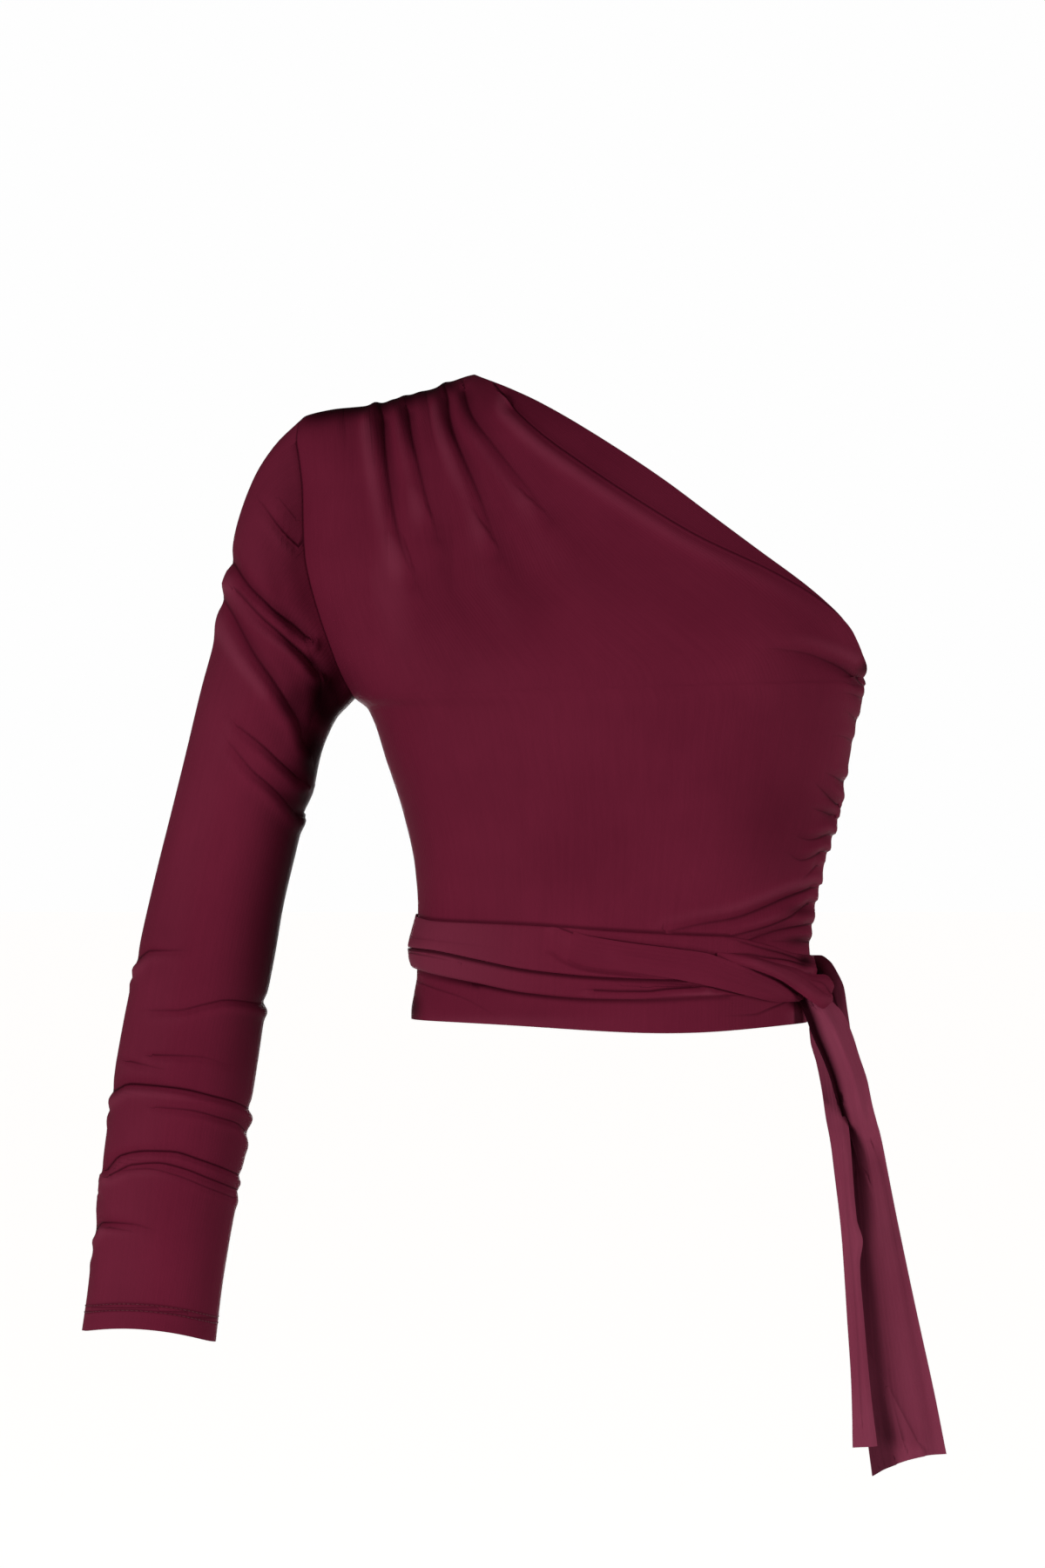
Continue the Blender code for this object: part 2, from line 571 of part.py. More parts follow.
def sleeve():
    start_outer, start_inner = armhole_loops()
    half, half_back = edge_shares(front_outer) / 2, edge_shares(back_outer) / 2
    shares0 = np.r_[half, 1 - half_back[1:-1][::-1]]
    even = np.arange(2 * ARM_ROWS) / (2 * ARM_ROWS)
    first = arm_ring(0.0, shares0)
    rings = []
    for s in SLEEVE_ROWS:
        ring = arm_ring(s, shares0 + (even - shares0) * ease(s / 0.3))
        rings.append(ring + (start_outer - first) * (1 - ease(s / 0.13)))
    base = np.stack(rings)
    n = normals(base, loop=True)
    middle = base.mean(axis=1, keepdims=True)
    n *= np.sign(np.mean(np.sum(n * (base - middle), 2)))
    rise = sleeve_rise(base, n) * ease(SLEEVE_ROWS / 0.03)[:, None]
    rise = rise * (1 - 0.8 * ease((SLEEVE_ROWS - 0.93) / 0.03))[:, None]
    outer = base + n * rise[..., None]
    outer[0] = start_outer
    m = normals(outer, loop=True)
    m *= np.sign(np.mean(np.sum(m * (outer - middle), 2)))
    inner = outer - m * np.where(SLEEVE_ROWS > 0.96, HEM_WALL, WALL)[:, None, None]
    inner[0] = start_inner
    return outer, inner


sleeve_outer, sleeve_inner = sleeve()
wall_mesh("sleeve", sleeve_outer, sleeve_inner, loop=True)

# Sash, made from the panels' own points moved out

WAIST = slice(ARM_ROWS, None)
RING = (
    [front_outer[WAIST, j] for j in range(front_outer.shape[1])]
    + [back_outer[WAIST, j] for j in range(back_outer.shape[1] - 2, 0, -1)]
)


def ring_at(z):
    """The waist's section at each station's own height."""
    points = []
    for column, height in zip(RING, z):
        x = np.interp(-height, -column[:, 2], column[:, 0])
        y = np.interp(-height, -column[:, 2], column[:, 1])
        points.append((x, 0.0 if abs(y) < 1 else y, height))
    return np.array(points)


MID_Z = -355.0  # the middle of the sash
MID_RING = ring_at(np.full(len(RING), MID_Z))
RING_OUT = np.roll(MID_RING, -1, 0) - np.roll(MID_RING, 1, 0)
RING_OUT = np.stack([-RING_OUT[:, 1], RING_OUT[:, 0], np.zeros(len(RING))], 1)
RING_OUT /= np.linalg.norm(RING_OUT, axis=1, keepdims=True)
RING_OUT *= np.sign(np.sum(RING_OUT * (MID_RING - [MIDLINE, 0, MID_Z])))
RING_SHARE = np.r_[0, np.cumsum(np.linalg.norm(np.diff(MID_RING, axis=0), axis=1))]
RING_SHARE /= RING_SHARE[-1] + np.linalg.norm(MID_RING[0] - MID_RING[-1])

STRAND = np.array(
    [
        # x, its upper edge, its lower edge
        (104, -336.0, -346.0), (112, -334.6, -352.0), (127, -338.0, -357.2), (152, -342.2, -360.4),
        (180, -345.8, -364.8), (200, -348.8, -369.0), (215, -354.2, -372.6), (231, -360.2, -376.8),
        (246, -367.0, -379.6), (257, -373.2, -379.4),
    ],
    float,
)


def unseen_z(z, y):
    return VIEW_Z + (z - VIEW_Z) / seen_scale(y)


def sash_line(column):
    """Heights of one line of the sash at every station round the waist."""
    return sash_height(seen(MID_RING)[0], MID_RING[:, 0], MID_RING[:, 1], column)


def under_strand(x, z, y):
    """1 where the crossing end lies on the turns."""
    top = along(x, STRAND[:, 0], STRAND[:, 1])
    low = along(x, STRAND[:, 0], STRAND[:, 2])
    inside = ease((top + 4 - z) / 3) * ease((z - low + 4) / 3)
    return inside * ease((x - 98) / 8) * (y < 0)


TURN_SECTION = [
    # share of the height from the lower edge, share of the thickness
    (0.05, 0), (0.95, 0), (1.0, 0.3), (0.92, 0.65), (0.74, 0.9), (0.54, 0.6), (0.30, 1.15), (0.08, 1.15), (0.0, 0.4),
]
PRESSED = 1.6  # how thick a turn is under the crossing end


def turn(name, top_column, low_column, thick):
    top, low = sash_line(top_column) - 0.2, sash_line(low_column) + 0.2
    sway = 0.07 * np.sin(2 * np.pi * (3 * RING_SHARE + 0.2 * low_column))
    sections = []
    for share, out in TURN_SECTION:
        level = share + (sway if 0.5 < share < 0.9 and out > 0 else 0)
        p = ring_at(low + (top - low) * level)
        pressed = under_strand(*seen(p), p[:, 1])
        bunched = 1 + 0.4 * np.exp(-(((p[:, 0] - 14) / 16) ** 2))
        d = SASH_CLEAR + out * (thick * bunched + (PRESSED - thick) * pressed)
        sections.append(p + RING_OUT * d[:, None])
    grid = np.stack(sections, 1)
    closed_tube(name, grid)
    return grid


def closed_tube(name, grid):
    """A body from sections whose points close, along a path that closes too."""
    rows, cols = grid.shape[:2]
    faces = []
    for i in range(rows):
        here, ahead = i * cols, ((i + 1) % rows) * cols
        for j in range(cols):
            k = (j + 1) % cols
            faces.append((here + j, ahead + j, ahead + k, here + k))
    body_from(name, grid.reshape(-1, 3), faces)


upper = turn("sash_upper_wrap", 1, 2, 3.4)
lower = turn("sash_lower_wrap", 2, 3, 2.8)


NEAR = 2.5  # the crossing end is laid over all that is this close to its height


def turn_reach(station, z):
    """How far out the two turns stand at a station, near a height."""
    reach = SASH_CLEAR
    for grid in (upper, lower):
        section = grid[station]
        flat = (section - MID_RING[station]) @ RING_OUT[station]
        loop_z = np.r_[section[:, 2], section[0, 2]]
        loop_d = np.r_[flat, flat[0]]
        fine_z = np.concatenate([np.linspace(loop_z[k], loop_z[k + 1], 12) for k in range(len(section))])
        fine_d = np.concatenate([np.linspace(loop_d[k], loop_d[k + 1], 12) for k in range(len(section))])
        base = ring_z_reach(station, fine_z)
        close = np.abs(fine_z - z) < NEAR
        if close.any():
            reach = max(reach, float(np.max((fine_d - base)[close])))
    return reach


def ring_z_reach(station, z):
    """The waist itself leans in or out with height. This is by how much, from its section at MID_Z."""
    column, middle, out = RING[station], MID_RING[station], RING_OUT[station]
    x = np.interp(-z, -column[:, 2], column[:, 0])
    y = np.interp(-z, -column[:, 2], column[:, 1])
    return (x - middle[0]) * out[0] + (y - middle[1]) * out[1]


def strip_on_sash(name, table, lift, thick, bulge, first, last, across=6):
    """A strip that lies on the turns, from its table of x, upper edge and lower edge as seen from the front."""
    x_seen, _ = seen(MID_RING)
    stations = [i for i in range(front_outer.shape[1]) if first <= x_seen[i] <= last]
    outer, inner = [], []
    for n, i in enumerate(stations):
        y = MID_RING[i, 1]
        top = unseen_z(float(along(x_seen[i], table[:, 0], table[:, 1])), y)
        low = unseen_z(float(along(x_seen[i], table[:, 0], table[:, 2])), y)
        row_in, row_out = [], []
        for k in range(across + 1):
            share = k / across
            z = low + (top - low) * share
            point = np.array([np.interp(-z, -RING[i][:, 2], RING[i][:, c]) for c in (0, 1)] + [z])
            under = turn_reach(i, z) + lift
            round_over = np.sin(np.pi * (0.12 + 0.76 * share))
            over = under + thick + bulge * round_over * ease(n / 4)
            row_in.append(point + RING_OUT[i] * under)
            row_out.append(point + RING_OUT[i] * over)
        inner.append(row_in)
        outer.append(row_out)
    wall_mesh(name, np.array(outer), np.array(inner))


strip_on_sash("sash_front_strand", STRAND, 0.6, 1.5, 1.6, 104, 259)

# Knot and tails: ribbons lofted through named sections


def placed(x, y, z):
    """A point given as seen from the front, at its true place."""
    k = seen_scale(y)
    return np.array([VIEW_X + (x - VIEW_X) / k, y, VIEW_Z + (z - VIEW_Z) / k])


def ribbon(name, table, relief, rows, across, wall, droop=None):
    """A strip between two edges. A row of the table: first edge x, y, z, second edge x, y, z. relief lifts it."""
    first = np.array([placed(*r[:3]) for r in table])
    second = np.array([placed(*r[3:6]) for r in table])
    run = np.r_[0, np.cumsum(np.linalg.norm(np.diff((first + second) / 2, axis=0), axis=1))]
    run /= run[-1]
    s = np.linspace(0, 1, rows)
    a = np.stack([along(s, run, first[:, k]) for k in range(3)], 1)
    b = np.stack([along(s, run, second[:, k]) for k in range(3)], 1)
    w = np.linspace(0, 1, across)
    flat = a[:, None] + (b - a)[:, None] * w[None, :, None]
    if droop is not None:
        flat = flat + droop(s[:, None], w[None, :])
    n = normals(flat)
    n *= np.sign(-np.mean(n[..., 1]))
    shaped = flat + n * relief(s[:, None], w[None, :])[..., None]
    m = normals(shaped)
    m *= np.sign(-np.mean(m[..., 1]))
    wall_mesh(name, shaped + m * wall / 2, shaped - m * wall / 2)


KNOT = [
    # upper edge x, y, z, lower edge x, y, z, as seen from the front
    (214, -81.6, -350.5, 214, -81.6, -353.0),
    (229, -76, -351.5, 230, -76, -358.2),
    (245, -64.5, -355.5, 247, -66, -365.2),
    (258.5, -51, -358.8, 259, -54.6, -373.2),
    (268, -44, -362.6, 269, -49, -380.4),
    (275.5, -38, -362.6, 274.5, -44, -383.6),
    (280, -31, -366.5, 278, -36, -379.5),
    (279, -24, -369, 276, -27, -376),
]


def knot_relief(s, w):
    return 2.6 * np.sin(np.pi * w) * ease(s / 0.3) + 0.6 * np.sin(3 * np.pi * w) * s


ribbon("sash_knot", KNOT, knot_relief, 18, 8, 1.4)

TAIL_FRONT = [
    # left edge x, y, z, right edge x, y, z, as seen from the front
    (266.5, -37, -379.2, 279, -31.5, -379.6),
    (264.8, -43.5, -388, 287, -33.5, -386.5),
    (266.6, -47, -401, 293.5, -35, -401),
    (270.5, -48, -414, 297.5, -36, -414),
    (276, -48, -429, 302.5, -37, -429),
    (283, -45, -443, 306, -37, -445),
    (288.0, -38, -453, 308.6, -37, -454),
    (289.5, -32, -464, 311, -36, -462),
    (292.5, -27, -486, 315.8, -34, -486),
    (294.5, -27, -517, 322.0, -33, -517),
    (297, -29, -572, 333.5, -32, -572),
    (300, -30, -627, 345.5, -32, -627),
    (306.3, -31, -679, 353, -32, -665),
]


def tail_front_relief(s, w):
    roll = 3.4 * np.exp(-(((w - 0.46) / 0.2) ** 2)) * (1 - 0.55 * s)
    groove = -2.0 * np.exp(-(((w - 0.14) / 0.1) ** 2)) - 1.4 * np.exp(-(((w - 0.82) / 0.1) ** 2)) * s
    return (roll + groove) * ease(s / 0.12)


def tail_front_droop(s, w):
    """The cut end is a slant that hollows in its middle."""
    lift = 3.5 * np.sin(np.pi * w) * ease((s - 0.8) / 0.2)
    return np.stack([np.zeros_like(lift), np.zeros_like(lift), lift], -1)


ribbon("sash_tail_front", TAIL_FRONT, tail_front_relief, 24, 11, 1.3, tail_front_droop)

TAIL_BACK = [
    # outer edge x, y, z, inner edge x, y, z, as seen from the front
    (216.2, 63.6, -357, 216.2, 63.6, -360),
    (232.2, 57.7, -353.4, 232.2, 57.7, -367),
    (247.4, 48.8, -351.4, 247.4, 48.8, -374),
    (259.3, 38.4, -350.6, 258.8, 38.4, -377),
    (267.2, 27.1, -350.2, 266.4, 27.1, -378),
    (274.4, 13, -350.4, 271.6, 15, -380),
    (279.5, 2, -353.5, 271.5, 6, -384),
    (284.5, -7, -361, 270.5, -1, -388),
    (288.8, -14, -371, 269, -8, -392),
    (290.5, -18, -384, 266.5, -15, -397),
    (292.3, -21, -398, 267.2, -19, -405),
    (293, -24, -414, 270.8, -25, -418),
    (284, -30, -434, 274.4, -33, -435),
    (285.0, -37, -452, 277, -39, -452),
    (290.2, -43, -468, 279.7, -45, -467),
    (293.5, -48, -490, 282.4, -50, -489),
    (297.5, -52, -517, 285.7, -52, -517),
    (301, -53, -575, 290.1, -53, -575),
    (304.7, -52, -625, 293, -53, -625),
    (309.0, -50, -660, 293.8, -52, -661),
]


def tail_back_relief(s, w):
    return (1.8 * np.sin(np.pi * w) + 0.9 * np.sin(2 * np.pi * w)) * ease(s / 0.15) * (1 - 0.4 * s)


ribbon("sash_tail_back", TAIL_BACK, tail_back_relief, 32, 8, 1.3)
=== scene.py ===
# %% [markdown]
# A one-shoulder blouse in burgundy jersey, built round its imported CAD model.
# The real one is cut from one stretch knit: a front, a back, one long sleeve and a sash that is wound twice
# round the waist and knotted at the wearer's left side. Every piece here is a thin wall of cloth, worked out
# from a few named sizes and then creased from short tables. Lengths are in millimetres until a mesh
# is written, as a maker measures cloth. +X is the wearer's left, -Y the front and +Z up.

import bpy
import numpy as np
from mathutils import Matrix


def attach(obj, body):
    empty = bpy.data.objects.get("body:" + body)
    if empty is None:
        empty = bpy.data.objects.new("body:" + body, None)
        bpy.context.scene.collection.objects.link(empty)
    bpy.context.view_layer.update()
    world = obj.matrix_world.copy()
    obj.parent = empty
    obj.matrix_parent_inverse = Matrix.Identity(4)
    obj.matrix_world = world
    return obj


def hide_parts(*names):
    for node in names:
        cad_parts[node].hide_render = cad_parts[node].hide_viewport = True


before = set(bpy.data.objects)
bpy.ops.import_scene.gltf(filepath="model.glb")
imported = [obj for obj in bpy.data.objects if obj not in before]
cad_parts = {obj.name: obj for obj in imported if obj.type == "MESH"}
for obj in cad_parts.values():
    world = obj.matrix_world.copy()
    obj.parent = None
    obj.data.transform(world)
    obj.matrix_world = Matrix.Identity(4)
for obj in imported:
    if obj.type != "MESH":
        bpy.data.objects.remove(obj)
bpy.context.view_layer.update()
print("CAD nodes:", sorted(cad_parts))

# %% [markdown]
# The camera comes first. The photograph was taken with a long lens from straight in front, so a 164 mm lens
# stands 4.5 m away, level with the middle of the picture. At that distance one photo pixel is 0.55 mm.

# %% Camera
VIEW, VIEW_X, VIEW_Z = 4500.0, 85.25, -242.0
PHOTO_HEIGHT = 990.0
camera_data = bpy.data.cameras.new("camera")
camera_data.sensor_width = 36.0
camera_data.lens = 36.0 * VIEW / PHOTO_HEIGHT
camera_data.clip_end = 100.0
camera = bpy.data.objects.new("camera", camera_data)
camera.location = (VIEW_X / 1000, -VIEW / 1000, VIEW_Z / 1000)
camera.rotation_euler = (np.pi / 2, 0, 0)
bpy.context.scene.collection.objects.link(camera)
bpy.context.scene.camera = camera
print("lens in mm:", round(camera_data.lens, 1))

# %% [markdown]
# A few helpers serve every material and object. A hex colour is in sRGB, as a colour picker shows it, and
# Blender's sockets want linear light, so one function converts it. Others fill a node's sockets, add a node
# with its settings and links, and are short for a math node, of which the cloth has many.

# %% Helpers


def colour(hex_text):
    """An sRGB hex value as linear red, green, blue and alpha."""
    parts = [int(hex_text[i : i + 2], 16) / 255 for i in (1, 3, 5)]
    return (*[c / 12.92 if c <= 0.04045 else ((c + 0.055) / 1.055) ** 2.4 for c in parts], 1.0)


def feed(tree, node, inputs):
    """Fills sockets. inputs maps a socket's name or number to a value, or to the output that feeds it."""
    for socket, value in inputs.items():
        if isinstance(value, bpy.types.NodeSocket):
            tree.links.new(value, node.inputs[socket])
        else:
            node.inputs[socket].default_value = value


def add(tree, kind, inputs=None, **settings):
    """Adds a node with its settings and fills its sockets."""
    node = tree.nodes.new(kind)
    for name, value in settings.items():
        setattr(node, name, value)
    feed(tree, node, inputs or {})
    return node


def maths(tree, operation, *values, **settings):
    """The output of a math node. values fill its inputs in order: numbers, or outputs of other nodes."""
    return add(tree, "ShaderNodeMath", dict(enumerate(values)), operation=operation, **settings).outputs[0]


def new_material(name):
    """A new material, its node tree and its main shader."""
    made = bpy.data.materials.new(name)
    made.use_nodes = True
    return made, made.node_tree, made.node_tree.nodes["Principled BSDF"]


def put(name, data):
    """A new object with this data, in the scene."""
    thing = bpy.data.objects.new(name, data)
    bpy.context.scene.collection.objects.link(thing)
    return thing


print("burgundy in linear light:", [round(c, 4) for c in colour("#5E1A2C")])

# %% [markdown]
# The cloth is a brushed viscose and elastane single jersey: a knit, so it has upright columns of small
# loops, called wales, and not a weave. Real wales are about 0.6 mm apart. One render pixel is about 1 mm, so
# they are drawn 1.1 mm apart, the finest that still shows. The pattern reads each piece's own UV map, which
# is in metres of cloth, so that the knit runs along a sleeve as it does on the real one.
#
# Light and shade are partly painted into the colour: a painted highlight pales the cloth where it stands
# out, and painted shade makes it nearly black where light can't reach. Each point of a piece carries this as
# the attribute dip: 1 in a black hollow, 0 on plain cloth and below 0 on a ridge with a painted highlight.
# The crisp line at the bottom of a fold is painted shade, finer than any mesh, so each point also carries
# its signed distance to the nearest line, and the shader draws the line from that: sharp on the side of the
# fold that rolls over, and soft on the other, with a small lip. Lines that run close together take turns
# between two layers, line_a and line_b, so that each keeps its own distance.

# %% Jersey


def line_of(tree, name):
    """How dark a line is, and its height in mm. A line is painted shade along a crease, or a dark seam or
    row of stitches. Its attribute is distance in mm, strength and width in mm.
    """
    kept = add(tree, "ShaderNodeAttribute", attribute_name=name)
    distance, strength, width = add(tree, "ShaderNodeSeparateXYZ", {0: kept.outputs["Vector"]}).outputs
    far = maths(tree, "DIVIDE", distance, width)
    trough_at = maths(tree, "MAXIMUM", maths(tree, "MULTIPLY", far, -1.7), maths(tree, "MULTIPLY", far, 0.7))
    lip_at = maths(tree, "ADD", far, 1.8)
    trough, lip = (
        maths(tree, "EXPONENT", maths(tree, "MULTIPLY", maths(tree, "POWER", place, 2.0), -1.0))
        for place in (trough_at, lip_at)
    )
    shape = maths(tree, "SUBTRACT", maths(tree, "MULTIPLY", lip, 0.45), trough)
    high = maths(tree, "MULTIPLY", maths(tree, "MULTIPLY", shape, width), strength)
    return maths(tree, "MULTIPLY", trough, strength), high


def jersey(name, wale_mm, pale, light, middle, dark):
    """Jersey with knit wales: painted highlight on ridges, between light and middle on plain cloth, painted
    shade in hollows.
    """
    cloth, tree, shader = new_material(name)

    # The wales, as height. Across a wale: 0 at its middle and 1 at its edges. Along it the loops make a row
    # of Vs, so the course is shifted by the place across.
    uv = add(tree, "ShaderNodeUVMap", uv_map="cloth").outputs[0]
    grain = add(tree, "ShaderNodeMapping", {"Vector": uv, "Scale": (1000 / wale_mm,) * 3})
    wale, course, _ = add(tree, "ShaderNodeSeparateXYZ", {0: grain.outputs[0]}).outputs
    across = maths(tree, "PINGPONG", wale, 1.0)
    vs = maths(tree, "PINGPONG", maths(tree, "MULTIPLY_ADD", across, 0.8, course), 0.5)
    loops = maths(tree, "SUBTRACT", vs, maths(tree, "POWER", across, 2.0))

    # Three noises: fine fuzz, large clouds, and streaks along the wales.
    place = add(tree, "ShaderNodeTexCoord").outputs["Object"]
    fuzz = add(tree, "ShaderNodeTexNoise", {"Vector": place, "Scale": 900.0, "Detail": 3.0}).outputs[0]
    cloud = add(tree, "ShaderNodeTexNoise", {"Vector": place, "Scale": 14.0, "Detail": 3.0}).outputs[0]
    streak_at = add(tree, "ShaderNodeMapping", {"Vector": uv, "Scale": (420.0, 22.0, 1.0)}).outputs[0]
    streak = add(tree, "ShaderNodeTexNoise", {"Vector": streak_at, "Scale": 1.0, "Detail": 2.0}).outputs[0]
    plain = add(tree, "ShaderNodeValToRGB", {0: maths(tree, "MULTIPLY_ADD", streak, 0.35, cloud)})
    for stop, position, tint in zip(plain.color_ramp.elements, (0.45, 0.95), (middle, light)):
        stop.position = position
        stop.color = colour(tint)

    # The two layers of lines and dip darken the plain colour: painted shade, and dark seams and stitches.
    # Where dip is below 0 it pales the colour instead: a painted highlight.
    dip = add(tree, "ShaderNodeAttribute", attribute_name="dip").outputs["Fac"]
    (first_dark, first_high), (second_dark, second_high) = line_of(tree, "line_a"), line_of(tree, "line_b")
    drawn = maths(tree, "MULTIPLY", maths(tree, "MAXIMUM", first_dark, second_dark), 0.85)
    deep = add(tree, "ShaderNodeClamp", {0: maths(tree, "MAXIMUM", drawn, dip), 1: 0.0, 2: 0.96}).outputs[0]
    painted_highlight_share = maths(tree, "MULTIPLY", dip, -1.0, use_clamp=True)
    painted_highlight = add(tree, "ShaderNodeMix", {0: painted_highlight_share, 6: plain.outputs[0], 7: colour(pale)}, data_type="RGBA")
    painted_shade = add(tree, "ShaderNodeMix", {0: deep, 6: painted_highlight.outputs[2], 7: colour(dark)}, data_type="RGBA")

    fold = maths(tree, "ADD", first_high, second_high)
    folded = add(tree, "ShaderNodeBump", {"Height": fold, "Strength": 0.6, "Distance": 0.001})
    height = maths(tree, "MULTIPLY_ADD", fuzz, 0.6, loops)
    knit = {"Height": height, "Normal": folded.outputs[0], "Strength": 0.30, "Distance": 0.00025}
    bump = add(tree, "ShaderNodeBump", knit)
    rough = add(tree, "ShaderNodeMapRange", {0: streak, 3: 0.58, 4: 0.70})
    feed(tree, shader, {
        "Base Color": painted_shade.outputs[2], "Roughness": rough.outputs[0], "Normal": bump.outputs[0], "IOR": 1.30,
        "Specular IOR Level": 0.03, "Sheen Weight": 0.02, "Sheen Roughness": 0.45,
        "Sheen Tint": colour("#8A2A44"),
    })
    return cloth


WALE = 1.1
# The first colour is the painted highlight and the last the painted shade. The ends of the sash get a paler
# copy of the jersey: painted light, for the light that falls on them where they hang free.
JERSEY = jersey("brushed_single_jersey", WALE, "#8E4257", "#661C31", "#5C172B", "#180005")
TAIL_JERSEY_PAINTED_LIGHT = jersey("tail_jersey_painted_light", WALE, "#A05C70", "#80384D", "#762F44", "#180005")
print("made", JERSEY.name, "with", len(JERSEY.node_tree.nodes), "nodes")

# %% [markdown]
# Everything is drawn through a few tables, so the first tool is a smooth curve through a table's rows that
# never swings past them. A path is a line of points on the plane y = 0, as they are seen from the camera,
# because that is how creases are measured off a photograph.

# %% Curves through tables


def along(at, xs, ys):
    """A smooth curve through a table's rows, with no overshoot."""
    xs, ys = np.asarray(xs, float), np.asarray(ys, float)
    at = np.clip(at, xs[0], xs[-1])
    step = np.diff(xs)
    slope = np.diff(ys) / step
    turn = np.zeros_like(ys)
    a, b = slope[:-1], slope[1:]
    turn[1:-1] = np.where(a * b > 0, 2 * a * b / np.where(a + b == 0, 1, a + b), 0)
    turn[0], turn[-1] = slope[0], slope[-1]
    i = np.clip(np.searchsorted(xs, at) - 1, 0, len(step) - 1)
    t = (at - xs[i]) / step[i]
    return (
        (2 * t**3 - 3 * t**2 + 1) * ys[i]
        + (t**3 - 2 * t**2 + t) * step[i] * turn[i]
        + (3 * t**2 - 2 * t**3) * ys[i + 1]
        + (t**3 - t**2) * step[i] * turn[i + 1]
    )


def ease(t):
    """A smooth step from 0 at 0 to 1 at 1."""
    t = np.clip(t, 0, 1)
    return t * t * (3 - 2 * t)


def bell(d, width):
    """1 at distance 0, and down to 0.37 at one width."""
    return np.exp(-((d / width) ** 2))


def run_of(points, axis=0):
    """How far along its line each point lies, from 0 at the first. In a grid the lines run along the axis."""
    steps = np.linalg.norm(np.diff(points, axis=axis), axis=-1)
    return np.cumsum(np.insert(steps, 0, 0, axis=axis), axis=axis)


class Path:
    """A line through points (x, z), read at a share of its length."""

    def __init__(self, points):
        self.points = np.asarray(points, float)
        self.s = run_of(self.points)

    def at(self, share):
        """x and z at a share of the length."""
        s = np.asarray(share) * self.s[-1]
        return along(s, self.s, self.points[:, 0]), along(s, self.s, self.points[:, 1])


# %% [markdown]
# The body of the blouse is a form with its own width and depth at each height, rounded like a barrel and
# turned over at the shoulder. The tables hold the same sizes as the CAD, so the cloth lies where the CAD
# solids are. The panels all but touch at their seams, so that no light shows through.

# %% The form under the cloth
MIDLINE = 142.0  # x of the middle of the body
RIDGE_ROUND = 45.0  # how far below the ridge of the shoulder the form has turned over
WALL, HEM_WALL = 1.1, 1.7  # thickness of the cloth, single and at the hems
SEAM = 0.02  # from a side seam's edge to the plane y = 0, where front and back meet

TORSO = np.array([
    # z, left edge, right edge, front depth, back depth, roundness
    (-402, 15.0, 265.0, 90, 77, 2.25), (-386, 15.0, 265.0, 88, 73, 2.25), (-374, 16.8, 265.0, 87, 70, 2.25),
    (-362, 18.6, 266.0, 86, 68, 2.25), (-345, 18.4, 267.0, 86, 66, 2.25), (-320, 19.2, 270.6, 88, 67, 2.25),
    (-295, 17.4, 275.6, 93, 72, 2.30), (-261, 10.2, 285.6, 102, 80, 2.35), (-228, -0.4, 291.2, 113, 87, 2.40),
    (-195, -12.1, 298.4, 120, 93, 2.40), (-188, -20.4, 300.6, 121, 94, 2.40),
    (-173, -30.6, 302.6, 120, 95, 2.38), (-156, -40.0, 302.5, 117, 96, 2.35),
    (-135, -49.5, 302.0, 111, 96, 2.30), (-98, -60.0, 300.0, 97, 92, 2.20), (-58, -61.0, 300.0, 82, 80, 2.15),
    (-14, -65.0, 300.0, 64, 61, 2.10), (25, -68.0, 300.0, 50, 46, 2.10),
], float)
BUST = [(72, -158, 9.0), (212, -160, 9.0)]  # x, z, rise
RIDGE = np.array([
    # x, z of the top of the shoulder
    (-56, -13.2), (-51.7, -9.6), (-38, -6.2), (-23.7, -4.4), (-9.9, -2.8), (2.8, 0),
    (18.7, 4.6), (30.8, 8.2), (39.6, 11.8), (55, 16.6), (90, 20), (300, 20),
], float)
ARMHOLE = Path([
    # x, z, from the shoulder to the underarm
    (-55.6, -13.2), (-57, -25), (-55.2, -37), (-52.8, -57.8), (-52.3, -78.7), (-51.2, -98.5), (-47.9, -115.5),
    (-42.4, -134.8), (-35.2, -155.7), (-28.6, -172.7), (-20.4, -188.2),
])
NECK_FRONT = Path([
    # x, z as seen, from the shoulder to the bare side
    (55, 16.6), (83.6, 5.5), (105, -5.5), (141.4, -27.5), (174.4, -49.5), (204, -71.5), (233.8, -93.5),
    (263.5, -115.2), (276.9, -126.5), (287.4, -137.0), (294.9, -148.0), (299.4, -159.0), (302.2, -178.8),
])
NECK_BACK = Path([
    # x, z at its true place, from the shoulder to the bare side
    (55, 16.6), (83, -3), (110, -22), (150, -50), (190, -78), (230, -106), (260, -129), (281, -147),
    (294, -162), (300, -171), (301.9, -178.8),
])
UNDERARM_Z = {"arm": -188.2, "bare": -178.8}
HEM_Z = {"arm": -390.0, "bare": -392.0}
HEM_DIP = {-1: 5.0, 1: 3.0}  # how much lower the middle of the front and of the back hang


def seen_scale(y):
    """How much larger than at y = 0 the camera sees what lies at this y."""
    return VIEW / (VIEW + y)


def seen(p):
    """Where the camera sees each point, on the plane y = 0."""
    k = seen_scale(p[..., 1])
    return VIEW_X + (p[..., 0] - VIEW_X) * k, VIEW_Z + (p[..., 2] - VIEW_Z) * k


def torso(z, column):
    """One column of the torso's table at a height."""
    return along(z, TORSO[:, 0], TORSO[:, column])


def ridge(x):
    """Height of the top of the shoulder."""
    return along(x, RIDGE[:, 0], RIDGE[:, 1])


